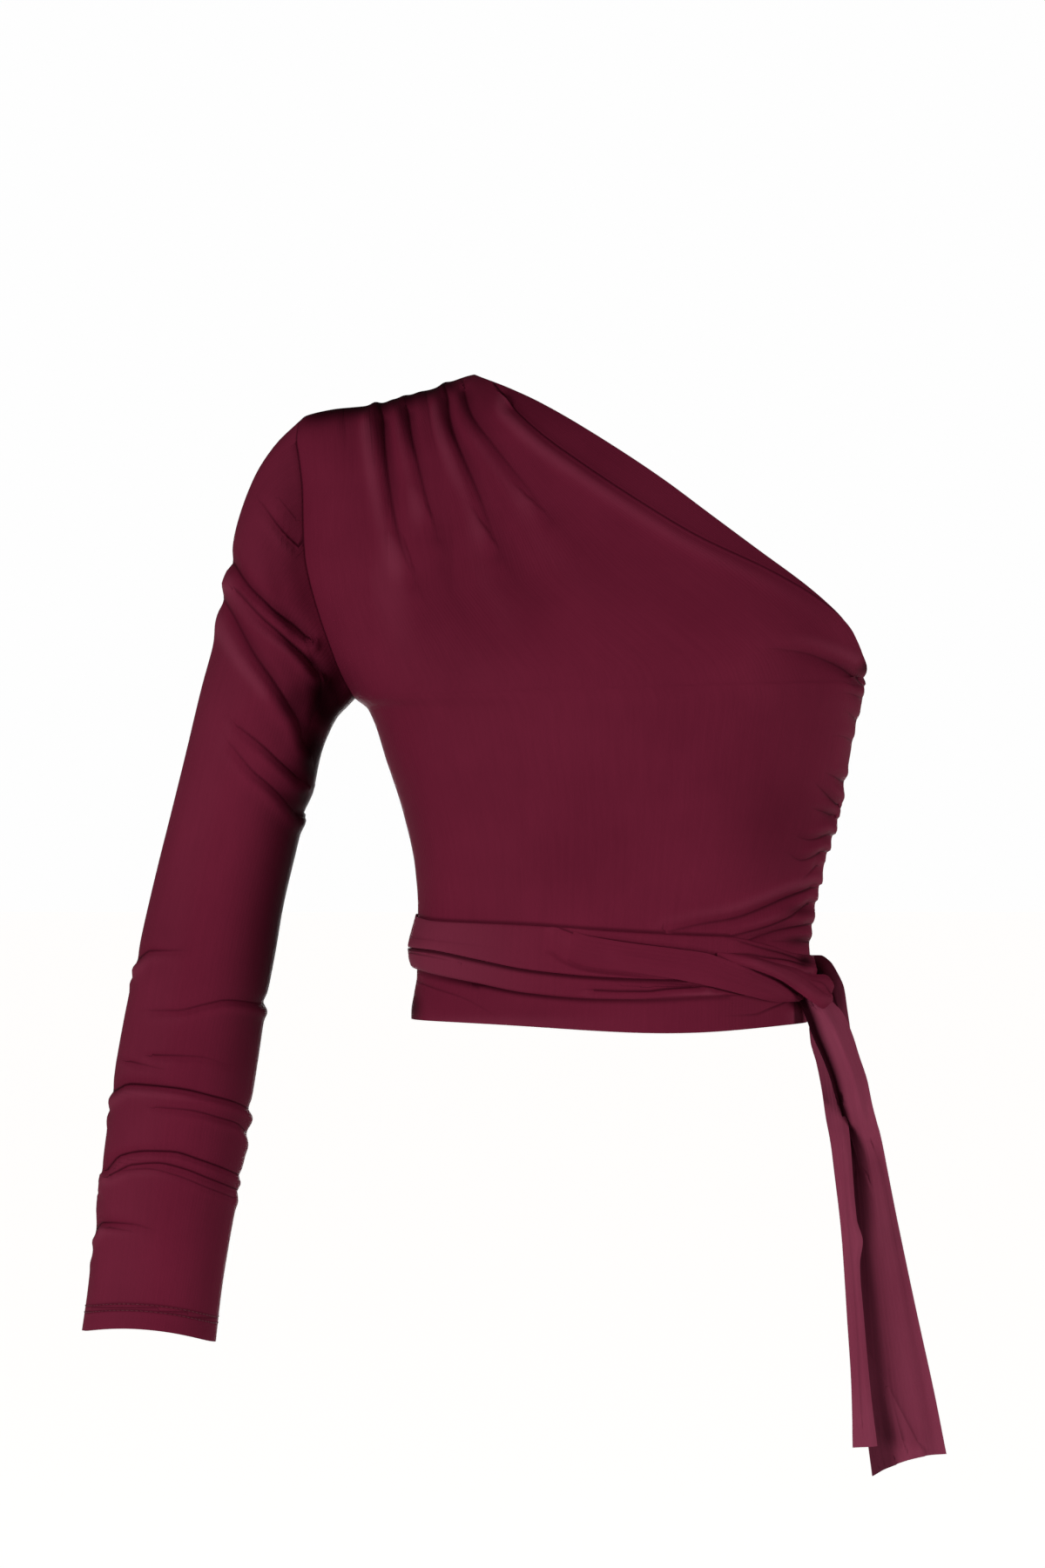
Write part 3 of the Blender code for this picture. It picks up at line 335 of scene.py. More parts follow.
def depth(x, z, side):
    """The y of the form's surface. side is -1 for the front and 1 for the back."""
    left, right, n = torso(z, 1), torso(z, 2), torso(z, 5)
    reach = torso(z, 3 if side < 0 else 4)
    half = np.where(x < MIDLINE, MIDLINE - left, right - MIDLINE)
    out = np.clip(np.abs(x - MIDLINE) / half, 0, 1)
    round_off = np.clip(1 - out**n, 0, 1) ** (1 / n)
    if side < 0:
        for bx, bz, rise in BUST:
            reach = reach + rise * np.exp(-(((x - bx) / 50) ** 2) - ((z - bz) / 46) ** 2)
    down = np.clip((ridge(x) - z) / RIDGE_ROUND, 0, 1)
    return side * reach * round_off * np.sqrt(np.clip(1 - (1 - down) ** 2, 0, 1))


print("front depth at the bust:", round(float(-depth(np.array(MIDLINE), np.array(-160.0), -1)), 1), "mm")

# %% [markdown]
# A panel is a grid of points. Its rows run from the side that carries the sleeve to the bare side. A row's
# number t is 0 at the shoulder seam, 1 at the underarm and 2 at the hem.

# %% Rows of a panel


def left_edge(t):
    """x and z where row t starts: on the armhole, and below it on the side seam."""
    if t <= 1:
        return ARMHOLE.at(t)
    z = UNDERARM_Z["arm"] + (HEM_Z["arm"] - UNDERARM_Z["arm"]) * (t - 1)
    return torso(z, 1), z


def right_edge(t, side):
    """x and z where row t ends: on the neckline, then on the bare side. The front's is drawn as seen."""
    if t <= 1 and side > 0:
        return NECK_BACK.at(t)
    if t <= 1:
        x, z = drawn_x, drawn_z = NECK_FRONT.at(t)
        for _ in range(4):
            scale = seen_scale(depth(x, z, side))
            x, z = VIEW_X + (drawn_x - VIEW_X) / scale, VIEW_Z + (drawn_z - VIEW_Z) / scale
        return x, z
    z = UNDERARM_Z["bare"] + (HEM_Z["bare"] - UNDERARM_Z["bare"]) * (t - 1)
    return torso(z, 2), z


def row(t, side):
    """One row across a panel, as close points."""
    (xa, za), (xb, zb) = left_edge(t), right_edge(t, side)
    f = (1 - np.cos(np.linspace(0, np.pi, 700))) / 2
    x = xa + (xb - xa) * f
    z = za + (zb - za) * f
    if t < 1:
        (sxa, sza), (sxb, szb) = ARMHOLE.points[0], NECK_FRONT.points[0]
        hump = ridge(sxa + (sxb - sxa) * f) - (sza + (szb - sza) * f)
        z = z + hump * (1 - ease(t / 0.3))
    else:
        skew = f**1.5 if side < 0 else f
        z = z - HEM_DIP[side] * (t - 1) * np.sin(np.pi * np.clip(skew, 0, 1)) ** 1.5
    return np.stack([x, depth(x, z, side), z], 1)


def resample(line, shares):
    """Points of a line at shares of its length."""
    s = run_of(line)
    return np.stack([np.interp(np.asarray(shares) * s[-1], s, line[:, k]) for k in range(3)], 1)


# Share of the way across at which each guide column runs. The guides follow the main gathers.
GUIDES = {
    -1: {
        0.00: (0, 0.44, 0.57, 0.78, 0.86, 0.945, 1),
        0.33: (0, 0.27, 0.377, 0.54, 0.645, 0.85, 1),
        0.66: (0, 0.205, 0.29, 0.44, 0.57, 0.93, 1),
        1.00: (0, 0.22, 0.32, 0.46, 0.60, 0.88, 1),
    },
    1: {
        0.00: (0, 0.44, 0.57, 0.78, 0.86, 0.945, 1),
        0.33: (0, 0.27, 0.377, 0.52, 0.63, 0.82, 1),
        0.66: (0, 0.205, 0.30, 0.45, 0.60, 0.86, 1),
        1.00: (0, 0.22, 0.33, 0.46, 0.60, 0.86, 1),
    },
}
COLUMNS = {-1: (36, 30, 36, 28, 46, 42), 1: (36, 26, 32, 24, 40, 38)}  # columns between the guides
ARM_ROWS, SIDE_ROWS = 98, 122
EVEN_ROWS = np.linspace(0, 1, ARM_ROWS + 1)
ROWS = np.r_[ease(EVEN_ROWS) * 0.35 + EVEN_ROWS * 0.65, 1 + np.linspace(0, 1, SIDE_ROWS + 1)[1:]]


def columns(t, side):
    """Shares across a row at which its points lie."""
    guides = GUIDES[side]
    marks = [float(np.interp(t, list(guides), [g[k] for g in guides.values()])) for k in range(7)]
    shares = [0.0]
    for k, count in enumerate(COLUMNS[side]):
        shares += list(marks[k] + (marks[k + 1] - marks[k]) * np.arange(1, count + 1) / count)
    return np.array(shares)


BASE = {side: np.stack([resample(row(t, side), columns(t, side)) for t in ROWS]) for side in (-1, 1)}
print("front grid:", BASE[-1].shape[:2], "back grid:", BASE[1].shape[:2])

# %% [markdown]
# The sash covers part of the panels. Its edges are drawn in a table too, because the creases of the bodice
# stop where the sash presses on them.

# %% Lines of the sash
SASH_FRONT = np.array([
    # x, top edge, line between the turns, lower edge, as seen from the front
    (12, -323.4, -344.9, -356.6), (30, -328.2, -346.8, -362.2), (57, -329.5, -352.6, -367.8),
    (89, -331.0, -359.2, -374.0), (131, -334.0, -363.6, -377.6), (156, -335.6, -364.8, -378.0),
    (188, -337.2, -365.6, -376.5), (215, -338.3, -365.0, -375.5), (240, -343.5, -364.0, -376.0),
    (258, -349.0, -364.0, -377.0), (280, -351.0, -365.0, -377.0),
], float)
SASH_BACK = np.array([
    # x, top edge, line between the turns, lower edge, at their true place
    (12, -323.4, -344.9, -356.6), (60, -326.0, -349.0, -366.0), (142, -330.0, -354.0, -374.0),
    (230, -342.0, -361.0, -377.0), (258, -349.0, -364.0, -377.0), (280, -351.0, -365.0, -377.0),
], float)


def sash_height(x_seen, x, y, column):
    """The height of one of the sash's lines, drawn as seen on the front and at its true place on the back."""
    front = VIEW_Z + (along(x_seen, SASH_FRONT[:, 0], SASH_FRONT[:, column]) - VIEW_Z) / seen_scale(y)
    return np.where(y <= 0.5, front, along(x, SASH_BACK[:, 0], SASH_BACK[:, column]))


# %% [markdown]
# A real crease in jersey isn't an even groove. One side rolls over in a tight lit ridge and drops steeply,
# and the other climbs back slowly. So each crease is a trough along listed points, steep on one side and
# gentle on the other, with a ridge on the steep side. Its row in a table gives its points, its width, how
# far it goes down, how far the ridge goes up, how strong it is at its two ends, which side is steep (1 is
# the right-hand side of the path as it is walked, -1 the left) and how dark the line of painted shade at its
# bottom is. A row with no depth paints only such a line of shade. Simulation was left out, because it can't
# be told which creases the photograph shows.
#
# Depth alone is too little for the eye: hollows in a studio photograph are darker and ridges paler than
# their shape explains. So the heights also set the attribute dip, which paints shade into hollows and a
# highlight onto ridges, and soft spots of painted shade are laid where cloth stands in its own way.

# %% Creases


LINE_REACH = 7.0  # mm from a line within which the points know of it


def near_path(x, z, points, start, end, flip=1):
    """Signed distance of each point from a path, and the strength there, which runs from start to end."""
    px, pz = Path(points).at(np.linspace(0, 1, 25))
    near = (x > px.min() - 30) & (x < px.max() + 30) & (z > pz.min() - 30) & (z < pz.max() + 30)
    signed, power = np.full(x.shape, 60.0), np.zeros(x.shape)
    x, z = x[near], z[near]
    best, apart, share = np.full(x.shape, 1e9), np.zeros(x.shape), np.zeros(x.shape)
    for i in range(24):
        dx, dz = px[i + 1] - px[i], pz[i + 1] - pz[i]
        t = np.clip(((x - px[i]) * dx + (z - pz[i]) * dz) / (dx * dx + dz * dz), 0, 1)
        ox, oz = x - px[i] - t * dx, z - pz[i] - t * dz
        far = ox * ox + oz * oz
        closer = far < best
        best = np.where(closer, far, best)
        apart = np.where(closer, flip * np.sign(dx * oz - dz * ox) * np.sqrt(far), apart)
        share = np.where(closer, (i + t) / 24, share)
    signed[near], power[near] = apart, start + (end - start) * share
    return signed, power


def crease_height(signed, width, down, up):
    """A trough, steep where signed is negative and gentle where it is positive, with a ridge beside it."""
    gentle = 0.6 * bell(signed, width) + 0.4 * bell(signed, 2.3 * width)
    trough = np.where(signed < 0, bell(signed, 0.6 * width), gentle)
    return up * bell(signed + 1.6 * width, 0.95 * width) - down * trough


def empty_lines(shape):
    """Two layers with no line: far away and with no strength."""
    lines = np.zeros((2, *shape, 3))
    lines[..., 0], lines[..., 2] = LINE_REACH, 1.0
    return lines


def draw_line(layer, signed, strength, wide):
    """Notes a line at the points where it is the nearest one: signed distance, strength and width."""
    fade = 1 - ease((np.abs(signed) - 2.5 * wide) / (LINE_REACH - 2.5 * wide))
    closer = np.abs(signed) < np.abs(layer[..., 0])
    layer[closer] = np.stack([signed, strength * fade, np.full(signed.shape, wide)], -1)[closer]


def creased(x, z, table):
    """The height of a table of creases, and the crisp lines of painted shade at their bottoms in two layers.
    """
    high, lines = np.zeros(x.shape), empty_lines(x.shape)
    for number, (points, width, down, up, start, end, steep_side, dark) in enumerate(table):
        signed, power = near_path(x, z, points, start, end, steep_side)
        high += power * crease_height(signed, width, down, up)
        if dark > 0:
            draw_line(lines[number % 2], signed, power * dark, 0.2 * width)
    return high, lines


def tone(rise, low, high):
    """The attribute dip for a height in mm: painted shade of 0.45 in a hollow this low, down to a painted
    highlight of -0.22 on a ridge this high.
    """
    return 0.45 * ease(-rise / low) - 0.22 * ease(rise / high)


def shade_over(dip, shade):
    """Painted shade from 0 to 1 over a tone: the darker of the two, and painted highlights on ridges fade as
    the shade grows.
    """
    shade = np.clip(shade, 0, 1)
    return np.maximum(dip, shade) + np.minimum(dip, 0) * (1 - shade)


def shaded(x, z, table):
    """Soft shade where cloth stands in its own way. Columns: x, z, half width, half height, strength."""
    spots = [strength * np.exp(-(((x - a) / w) ** 2) - ((z - b) / h) ** 2) for a, b, w, h, strength in table]
    return np.maximum.reduce(spots)


NECK_PLEAT = [
    # x, z: the long crease below the neckline
    (80.3, -4.4), (97.4, -20.4), (117.7, -35.2), (157.3, -61.6), (195.8, -84.7), (243.1, -107.3),
    (274.5, -126), (289, -138),
]
FRONT_CREASES = [
    # points, width, down, up, strength at the start, at the end, steep side, darkness of the painted shade
    # line
    ([(-27.5, -5), (-27, -34)], 3.4, 1.0, 0.5, 1, 0, 1, 0.3),
    ([(-11, -4), (-9, -30), (-5, -60)], 3.6, 1.1, 0.6, 0.8, 0, 1, 0.3),
    ([(-4.4, -2), (-3.0, -23), (0.8, -55), (5.6, -80), (11.0, -98), (18.5, -116)],
     5.4, 4.8, 2.8, 1, 0.1, 1, 1),
    ([(11.6, -3), (14.2, -19), (19.0, -40), (24.8, -63), (32, -86)], 5.0, 3.4, 2.2, 1, 0.1, 1, 0.9),
    ([(24.5, 5), (27.5, -18), (34, -44)], 3.6, 1.4, 0.9, 1, 0, 1, 0.4),
    ([(36.4, 10), (37.8, -6), (41.5, -20), (47.5, -35), (56, -55), (64, -76), (72, -96)],
     5.6, 4.4, 2.7, 1, 0.1, 1, 1),
    ([(47.9, 8), (50.6, -2), (55.6, -12), (63.3, -22.5), (74.3, -37), (89, -55), (104, -74)],
     5.4, 3.6, 2.4, 0.8, 0.1, 1, 0.8),
    ([(19, -115), (30, -150), (36, -185)], 13.0, 1.6, 1.1, 0.9, 0, 1, 0),
    ([(31, -84), (45, -125), (60, -160)], 13.0, 1.6, 1.1, 0.9, 0, 1, 0),
    ([(72, -96), (95, -130), (115, -155)], 13.0, 1.6, 1.1, 0.9, 0, 1, 0),
    ([(104, -74), (135, -100), (165, -118)], 12.0, 1.3, 0.9, 0.9, 0, 1, 0),
    (NECK_PLEAT, 5.2, 2.6, 2.6, 0.8, 0.1, 1, 0),
    # This row has no depth: it paints only the line of shade along the neck pleat.
    ([(67, 11), *NECK_PLEAT], 3.4, 0, 0, 1, 0.7, 1, 0.95),
    ([(300, -177), (290.4, -169.4), (280, -164.4), (265, -159), (244, -156)], 4.8, 4.2, 2.2, 1, 0.1, 1, 1),
    ([(301, -188), (293, -185), (284, -184)], 2.8, 1.6, 0.9, 0.8, 0, 1, 0.7),
    ([(299, -204), (294, -199), (289, -195)], 3.0, 2.0, 1.1, 1, 0, 1, 0.8),
    ([(297, -217), (288, -212), (279, -211)], 3.0, 1.6, 0.9, 0.8, 0, 1, 0.7),
    ([(290, -241), (282, -237), (275, -234)], 3.4, 2.6, 1.4, 1, 0, 1, 0.9),
    ([(285, -255), (277, -247.5), (270, -241)], 3.6, 3.2, 1.7, 1, 0.1, 1, 1),
    ([(282, -262), (274, -259), (265, -256)], 3.6, 2.8, 1.5, 1, 0, 1, 0.9),
    ([(279, -275), (267, -277.5), (256, -274)], 3.6, 3.0, 1.9, 1, 0.1, 1, 1),
    ([(275, -286), (262, -290.4), (252, -285)], 3.6, 3.0, 1.9, 1, 0.1, 1, 1),
    ([(272, -294), (259, -303)], 3.2, 1.4, 0.9, 1, 0, 1, 0.7),
    ([(268.5, -308), (249, -315.7), (239, -320), (220, -326.7), (196, -331), (176, -335.5)],
     4.4, 3.2, 2.0, 1, 0.3, 1, 1),
    ([(268, -318), (253, -327), (236.5, -333.5), (217, -338)], 4.0, 3.0, 1.7, 1, 0.5, 1, 1),
    ([(267, -331), (250, -334), (236, -338), (226, -341)], 3.8, 2.6, 1.5, 1, 0.5, 1, 1),
    ([(268, -342), (257, -341.5), (246, -341)], 3.6, 2.4, 1.4, 1, 0.3, 1, 1),
    # These three rows have no depth: they paint only lines of shade along the sash's top and lower edges.
    ([(12, -323), (30, -327.6), (89, -330.4), (131, -333.4), (188, -336.6), (215, -337.7)],
     4.6, 0, 0, 0.6, 0.6, 1, 1),
    ([(12, -357), (30, -362.6), (57, -368.2)], 9.0, 0, 0, 0.4, 1, -1, 1),
    ([(57, -368.2), (89, -374.4), (131, -378), (156, -378.4), (215, -376)], 6.5, 0, 0, 1, 0.4, -1, 1),
    ([(16.5, -366), (30.3, -371.3), (46.8, -376.8), (57.8, -382.3), (67, -388)],
     3.2, 0.8, 0.5, 1, 0.1, 1, 0.5),
    ([(254, -378.5), (242, -383.4), (231, -387.4), (217, -388)], 3.8, 1.6, 0.9, 1, 0.1, 1, 0.8),
]
BACK_CREASES = [
    # the same columns
    ([(-27.5, -5), (-26, -38)], 3.4, 1.0, 0.5, 1, 0, 1, 0.3),
    ([(-13, -4), (-14, -50)], 3.6, 1.2, 0.6, 1, 0, 1, 0.3),
    ([(-4.4, -2), (-4, -34), (2, -84)], 5.0, 3.6, 1.9, 1, 0.05, 1, 0.75),
    ([(12, 0), (15, -30), (24, -76)], 4.8, 3.0, 1.6, 1, 0.05, 1, 0.7),
    ([(24, 5), (30, -24)], 3.4, 1.4, 0.8, 1, 0, 1, 0.4),
    ([(36.9, 9), (46, -22), (68, -66)], 5.2, 3.0, 1.8, 1, 0.05, 1, 0.7),
    ([(46.5, 12), (66, -22), (104, -62)], 5.2, 3.0, 1.8, 0.7, 0.05, 1, 0.65),
    ([(2, -84), (10, -130), (14, -170)], 13.0, 1.6, 1.1, 0.9, 0, 1, 0),
    ([(68, -66), (96, -116), (116, -150)], 13.0, 1.6, 1.1, 0.9, 0, 1, 0),
    ([(299, -186), (270, -178), (236, -180)], 4.6, 3.0, 1.7, 1, 0, 1, 0.8),
    ([(293, -214), (262, -210), (232, -216)], 4.0, 2.8, 1.4, 1, 0, 1, 0.8),
    ([(288, -240), (262, -240), (236, -248)], 3.8, 2.6, 1.4, 1, 0, 1, 0.8),
    ([(284, -262), (256, -262), (226, -272)], 3.8, 2.8, 1.6, 1, 0, 1, 0.8),
    ([(276, -288), (246, -290), (214, -302)], 3.8, 3.0, 1.6, 1, 0, 1, 0.8),
    ([(270, -312), (240, -316), (196, -326)], 3.8, 2.8, 1.6, 1, 0.2, 1, 0.8),
    ([(34, -302), (62, -307), (96, -318)], 4.6, 1.8, 1.1, 0.3, 0.5, 1, 0.5),
    # These two rows have no depth: they paint only lines of shade along the sash's top and lower edges.
    ([(12, -323), (60, -325.6), (142, -329.6), (230, -341.6)], 4.6, 0, 0, 0.6, 0.6, 1, 1),
    ([(12, -357), (60, -366.4), (142, -374.4), (230, -377.4)], 6.5, 0, 0, 0.7, 0.7, -1, 1),
]
FRONT_SHADE = [
    # x, z, half width, half height, strength
    (-30, -188, 12, 16, 0.45), (300.5, -168.5, 3.5, 4, 0.9), (240, -262, 34, 34, 0.2),
    (262, -322, 9, 3.5, 0.6), (261, -341, 9, 3.0, 0.7), (263, -380, 10, 3.2, 0.9), (16, -383, 5, 11, 0.8),
]
SEAM_GATHERS = [
    # x of the middle, width, height of each tuck that bumps along the shoulder seam
    (-31, 8, 0.3), (-8, 3.2, 1.7), (3, 3.2, 0.7), (10, 4, 1.3), (20, 4.5, 0.7), (35.5, 3.4, 1.3),
]
print(len(FRONT_CREASES), "creases on the front and", len(BACK_CREASES), "on the back")

# %% [markdown]
# A wall of cloth is made from two grids, its outer and its inner face, joined round their edges. The UV map
# is the distance along the cloth in metres, so a pattern keeps its real size on every piece.

# %% Walls
SHARP = 1.1  # radians between two faces from which their edge is shaded sharp


def normals(grid, away, loop=False):
    """Unit normals of a grid of points, on the side that faces away. loop closes its second axis."""
    du = np.gradient(grid, axis=0)
    dv = (np.roll(grid, -1, 1) - np.roll(grid, 1, 1)) / 2 if loop else np.gradient(grid, axis=1)
    n = np.cross(du, dv)
    n /= np.maximum(np.linalg.norm(n, axis=2, keepdims=True), 1e-9)
    return n * np.sign(np.mean(np.sum(n * away, axis=2)))


def grid_corners(layer, rows, cols, loop, turned):
    """Corners (layer, row, column) of every quad of one face of a wall."""
    last = cols if loop else cols - 1
    i, j = (k.ravel() for k in np.meshgrid(range(rows - 1), range(last), indexing="ij"))
    corners = [(i, j), (i + 1, j), (i + 1, j + 1), (i, j + 1)]
    quads = np.stack([np.stack([np.full_like(i, layer), a, b], 1) for a, b in corners], 1)
    return quads[:, ::-1] if turned else quads


def rim_corners(line, flip):
    """Quads that join the two layers along a line of (row, column) pairs."""
    a, b = line[:-1], line[1:]
    zero, one = np.zeros((len(a), 1), int), np.ones((len(a), 1), int)
    quads = np.stack([np.c_[zero, a], np.c_[zero, b], np.c_[one, b], np.c_[one, a]], 1)
    return quads[:, ::-1] if flip else quads


def wall(name, outer, inner, dip, lines, loop=False, inner_dip=None, cloth=None):
    """One closed wall as an object, with a UV map in metres, the attribute dip and the two layers of lines.

    The inner face has no lines, and the outer face's dip where inner_dip isn't given.
    """
    rows, cols = outer.shape[:2]
    last = cols if loop else cols - 1
    across, down = np.arange(last + 1), np.arange(rows)
    top = np.stack([np.zeros_like(across), across], 1)
    faces = [grid_corners(0, rows, cols, loop, False), grid_corners(1, rows, cols, loop, True)]
    faces += [rim_corners(top, False), rim_corners(top + [rows - 1, 0], True)]
    if not loop:
        side = np.stack([down, np.zeros_like(down)], 1)
        faces += [rim_corners(side, True), rim_corners(side + [0, cols - 1], False)]
    corners = np.concatenate(faces)
    index = corners[..., 0] * rows * cols + corners[..., 1] * cols + corners[..., 2] % cols
    points = np.concatenate([outer.reshape(-1, 3), inner.reshape(-1, 3)]) * 0.001
    closed = np.concatenate([outer, outer[:, :1]], 1) if loop else outer
    u = run_of(closed, 1).mean(0, keepdims=True).repeat(rows, 0)
    v = run_of(closed, 0).mean(1, keepdims=True).repeat(closed.shape[1], 1)
    uv = np.stack([u[corners[..., 1], corners[..., 2]], v[corners[..., 1], corners[..., 2]]], -1) * 0.001
    attributes = mesh_object(name, points, index, uv.reshape(-1, 2), cloth or JERSEY).data.attributes
    both = np.clip(np.r_[dip.ravel(), (dip if inner_dip is None else inner_dip).ravel()], -1, 1)
    attributes.new("dip", "FLOAT", "POINT").data.foreach_set("value", both.astype(np.float32))
    for label, layer, none in zip(("line_a", "line_b"), lines, empty_lines((rows, cols))):
        flat = np.concatenate([layer.reshape(-1, 3), none.reshape(-1, 3)]).astype(np.float32)
        attributes.new(label, "FLOAT_VECTOR", "POINT").data.foreach_set("vector", flat.ravel())


def mesh_object(name, points, faces, uv, cloth):
    """An object from points in metres. A mesh that came out inside out is turned."""
    mesh = bpy.data.meshes.new(name)
    mesh.from_pydata(points.tolist(), [], faces.tolist())
    a, b, c, d = (points[faces[:, k]] for k in range(4))
    volume = np.sum(a * np.cross(b, c)) + np.sum(a * np.cross(c, d))
    layer = mesh.uv_layers.new(name="cloth")
    layer.data.foreach_set("uv", uv.astype(np.float32).ravel())
    if volume < 0:
        mesh.flip_normals()
    mesh.shade_smooth()
    mesh.set_sharp_from_angle(angle=SHARP)
    mesh.materials.append(cloth)
    halves = np.cross(b - a, c - a), np.cross(c - a, d - a)
    area = sum(np.linalg.norm(half, axis=1).sum() for half in halves) / 4
    print(f"{name}: {2 * len(faces)} triangles, {area:.4f} square metres of cloth")
    return put(name, mesh)


# %% [markdown]
# The front and the back are made by one function. The creases push each point along its normal, they fade
# out under the sash, and at the shoulder they give way to the tucks that both panels share along the seam.
# Down the bare side the two panels share their heights as well, so that the side seam stays shut.

# %% Front and back
SEAM_STRENGTH, SEAM_WIDTH = 0.6, 0.5  # of the line along the seam between a panel and the sleeve


def panel_normals(grid, side):
    """Normals of a panel out of the body. Along the seams they stay in the seam's plane."""
    n = normals(grid, (0, side, 0))
    n[0] = (0, 0, 1)
    n[ARM_ROWS:, 0, 1] = 0
    n[ARM_ROWS:, -1, 1] = 0
    return n / np.linalg.norm(n, axis=2, keepdims=True)


def panel(side, front_edge=None):
    """Outer and inner face, dip, lines and heights. The back takes the front's heights down the bare side."""
    base = BASE[side]
    table = FRONT_CREASES if side < 0 else BACK_CREASES
    x, z = seen(base) if side < 0 else (base[..., 0], base[..., 2])
    high, lines = creased(x, z, table)
    sash_top = sash_height(seen(base)[0], base[..., 0], base[..., 1], 1)
    calm = ease((base[..., 2] - sash_top + 1) / 5)
    tucks = sum(high_tuck * bell(base[..., 0] - at, wide) for at, wide, high_tuck in SEAM_GATHERS)
    below_ridge = ridge(base[..., 0]) - base[..., 2]
    off_top = ease(below_ridge / 12)
    out = base[..., 1] * side
    off_side = np.where(base[..., 0] < MIDLINE, ease(out / 6), 0.4 + 0.6 * ease(out / 26))
    rise = (high * off_top * off_side + tucks * (1 - off_top)) * calm
    if front_edge is not None:
        round_side = np.where((base[..., 0] < MIDLINE) | (ROWS < 1)[:, None], 1, ease(base[..., 1] / 22))
        rise = rise * round_side + front_edge[:, None] * (1 - round_side)
    outer = base + panel_normals(base, side) * rise[..., None]
    from_arm = run_of(outer, 1)
    draw_line(lines[0], from_arm, np.full(from_arm.shape, SEAM_STRENGTH), SEAM_WIDTH)
    inner = outer - panel_normals(outer, side) * np.where(ROWS > 1.95, HEM_WALL, WALL)[:, None, None]
    for grid in (outer, inner):
        grid[..., 1] = np.maximum(grid[..., 1] * side, SEAM) * side
        grid[0, :, 1] = SEAM * side
        grid[ARM_ROWS:, 0, 1] = SEAM * side
        grid[ARM_ROWS:, -1, 1] = SEAM * side
    inner[0, :, 2] = outer[0, :, 2] - WALL
    dip = tone(rise, 4.5, 2.4)
    if side < 0:
        # Painted shade in a band above the neck pleat, and painted light at the hem's corner by the tail and
        # low on the hem towards the arm's side.
        pleat, _ = near_path(x, z, NECK_PLEAT, 1, 1)
        above_pleat = 0.26 * ease(pleat / 1.5) * ease((x - 68) / 14) * ease((60 - pleat) / 20)
        lit_corner = 0.4 * bell(x - 261, 6) * bell(z + 389, 7)
        lit_hem = 0.16 * ease((-386 - z) / 8) * bell(x - 60, 60)
        dip = shade_over(dip + above_pleat - lit_corner - lit_hem, shaded(x, z, FRONT_SHADE))
    # Painted shade along the top of the shoulder, which faces up, away from the lights: strong on the front,
    # weaker on the back.
    across_top = ease((52 - base[..., 0]) / 16) * ease((base[..., 0] + 66) / 26)
    at_top = (0.92 if side < 0 else 0.4) * bell(below_ridge, 8) * across_top
    return outer, inner, shade_over(dip, at_top), lines, rise


front_outer, front_inner, front_dip, front_lines, front_rise = panel(-1)
back_outer, back_inner, back_dip, back_lines, _ = panel(1, front_rise[:, -1])
wall("front_cloth", front_outer, front_inner, front_dip, front_lines)
wall("back_cloth", back_outer, back_inner, back_dip, back_lines)

# %% [markdown]
# The sleeve is a tube through rings. Its first ring is the armhole itself, a hair's breadth away from the
# two panels' edges, and the rings then pass into the arm's own oval sections.

# %% Sleeve sections
ARM = np.array([
    # upper edge x, z, lower edge x, z, front depth, back depth, middle y, roundness
    (-55.6, -13.2, -20.4, -188.2, 40, 40, 0, 2.1), (-70.4, -27.5, -25.9, -194.0, 46, 46, 0, 2.1),
    (-84.7, -49.5, -31.4, -200.0, 49, 50, 1, 2.1), (-96.3, -82.5, -36.9, -211.0, 51, 52, 2, 2.1),
    (-102.9, -115.5, -42.4, -226.6, 51, 53, 3, 2.1), (-108.9, -148.5, -46.2, -244.8, 50, 52, 4, 2.1),
    (-117.7, -181.5, -52.3, -262.9, 49, 50, 4, 2.1), (-128.2, -225.5, -59.4, -291.5, 47, 48, 3, 2.1),
    (-137.0, -261.2, -66.0, -320.1, 45, 46, 2, 2.1), (-145.2, -294.2, -70.4, -346.5, 44, 45, 0, 2.1),
    (-152.9, -327.2, -74.2, -367.4, 44, 45, -2, 2.1), (-160.0, -360.3, -77.6, -389.4, 44, 44, -5, 2.1),
    (-166.6, -393.3, -80.9, -412.5, 43, 43, -8, 2.1), (-172.2, -426.3, -84.7, -438.9, 43, 43, -11, 2.1),
    (-176.7, -462.0, -87.5, -464.8, 43, 42, -14, 2.1), (-180.4, -489.5, -91.9, -490.6, 42, 41, -17, 2.1),
    (-184.3, -525.2, -98.5, -526.9, 40, 39, -20, 2.1), (-188.1, -561.0, -104.0, -562.1, 39, 38, -23, 2.1),
    (-191.4, -584.7, -107.3, -591.8, 39, 37, -25, 2.1),
], float)
ARM_AT = run_of((ARM[:, :2] + ARM[:, 2:4]) / 2)
ARM_AT /= ARM_AT[-1]
SEAM_OUT = 0.06  # between a panel's armhole edge and the sleeve
SLEEVE_ROWS = np.r_[np.linspace(0, 0.04, 6)[:-1], np.linspace(0.04, 1.0, 245)]


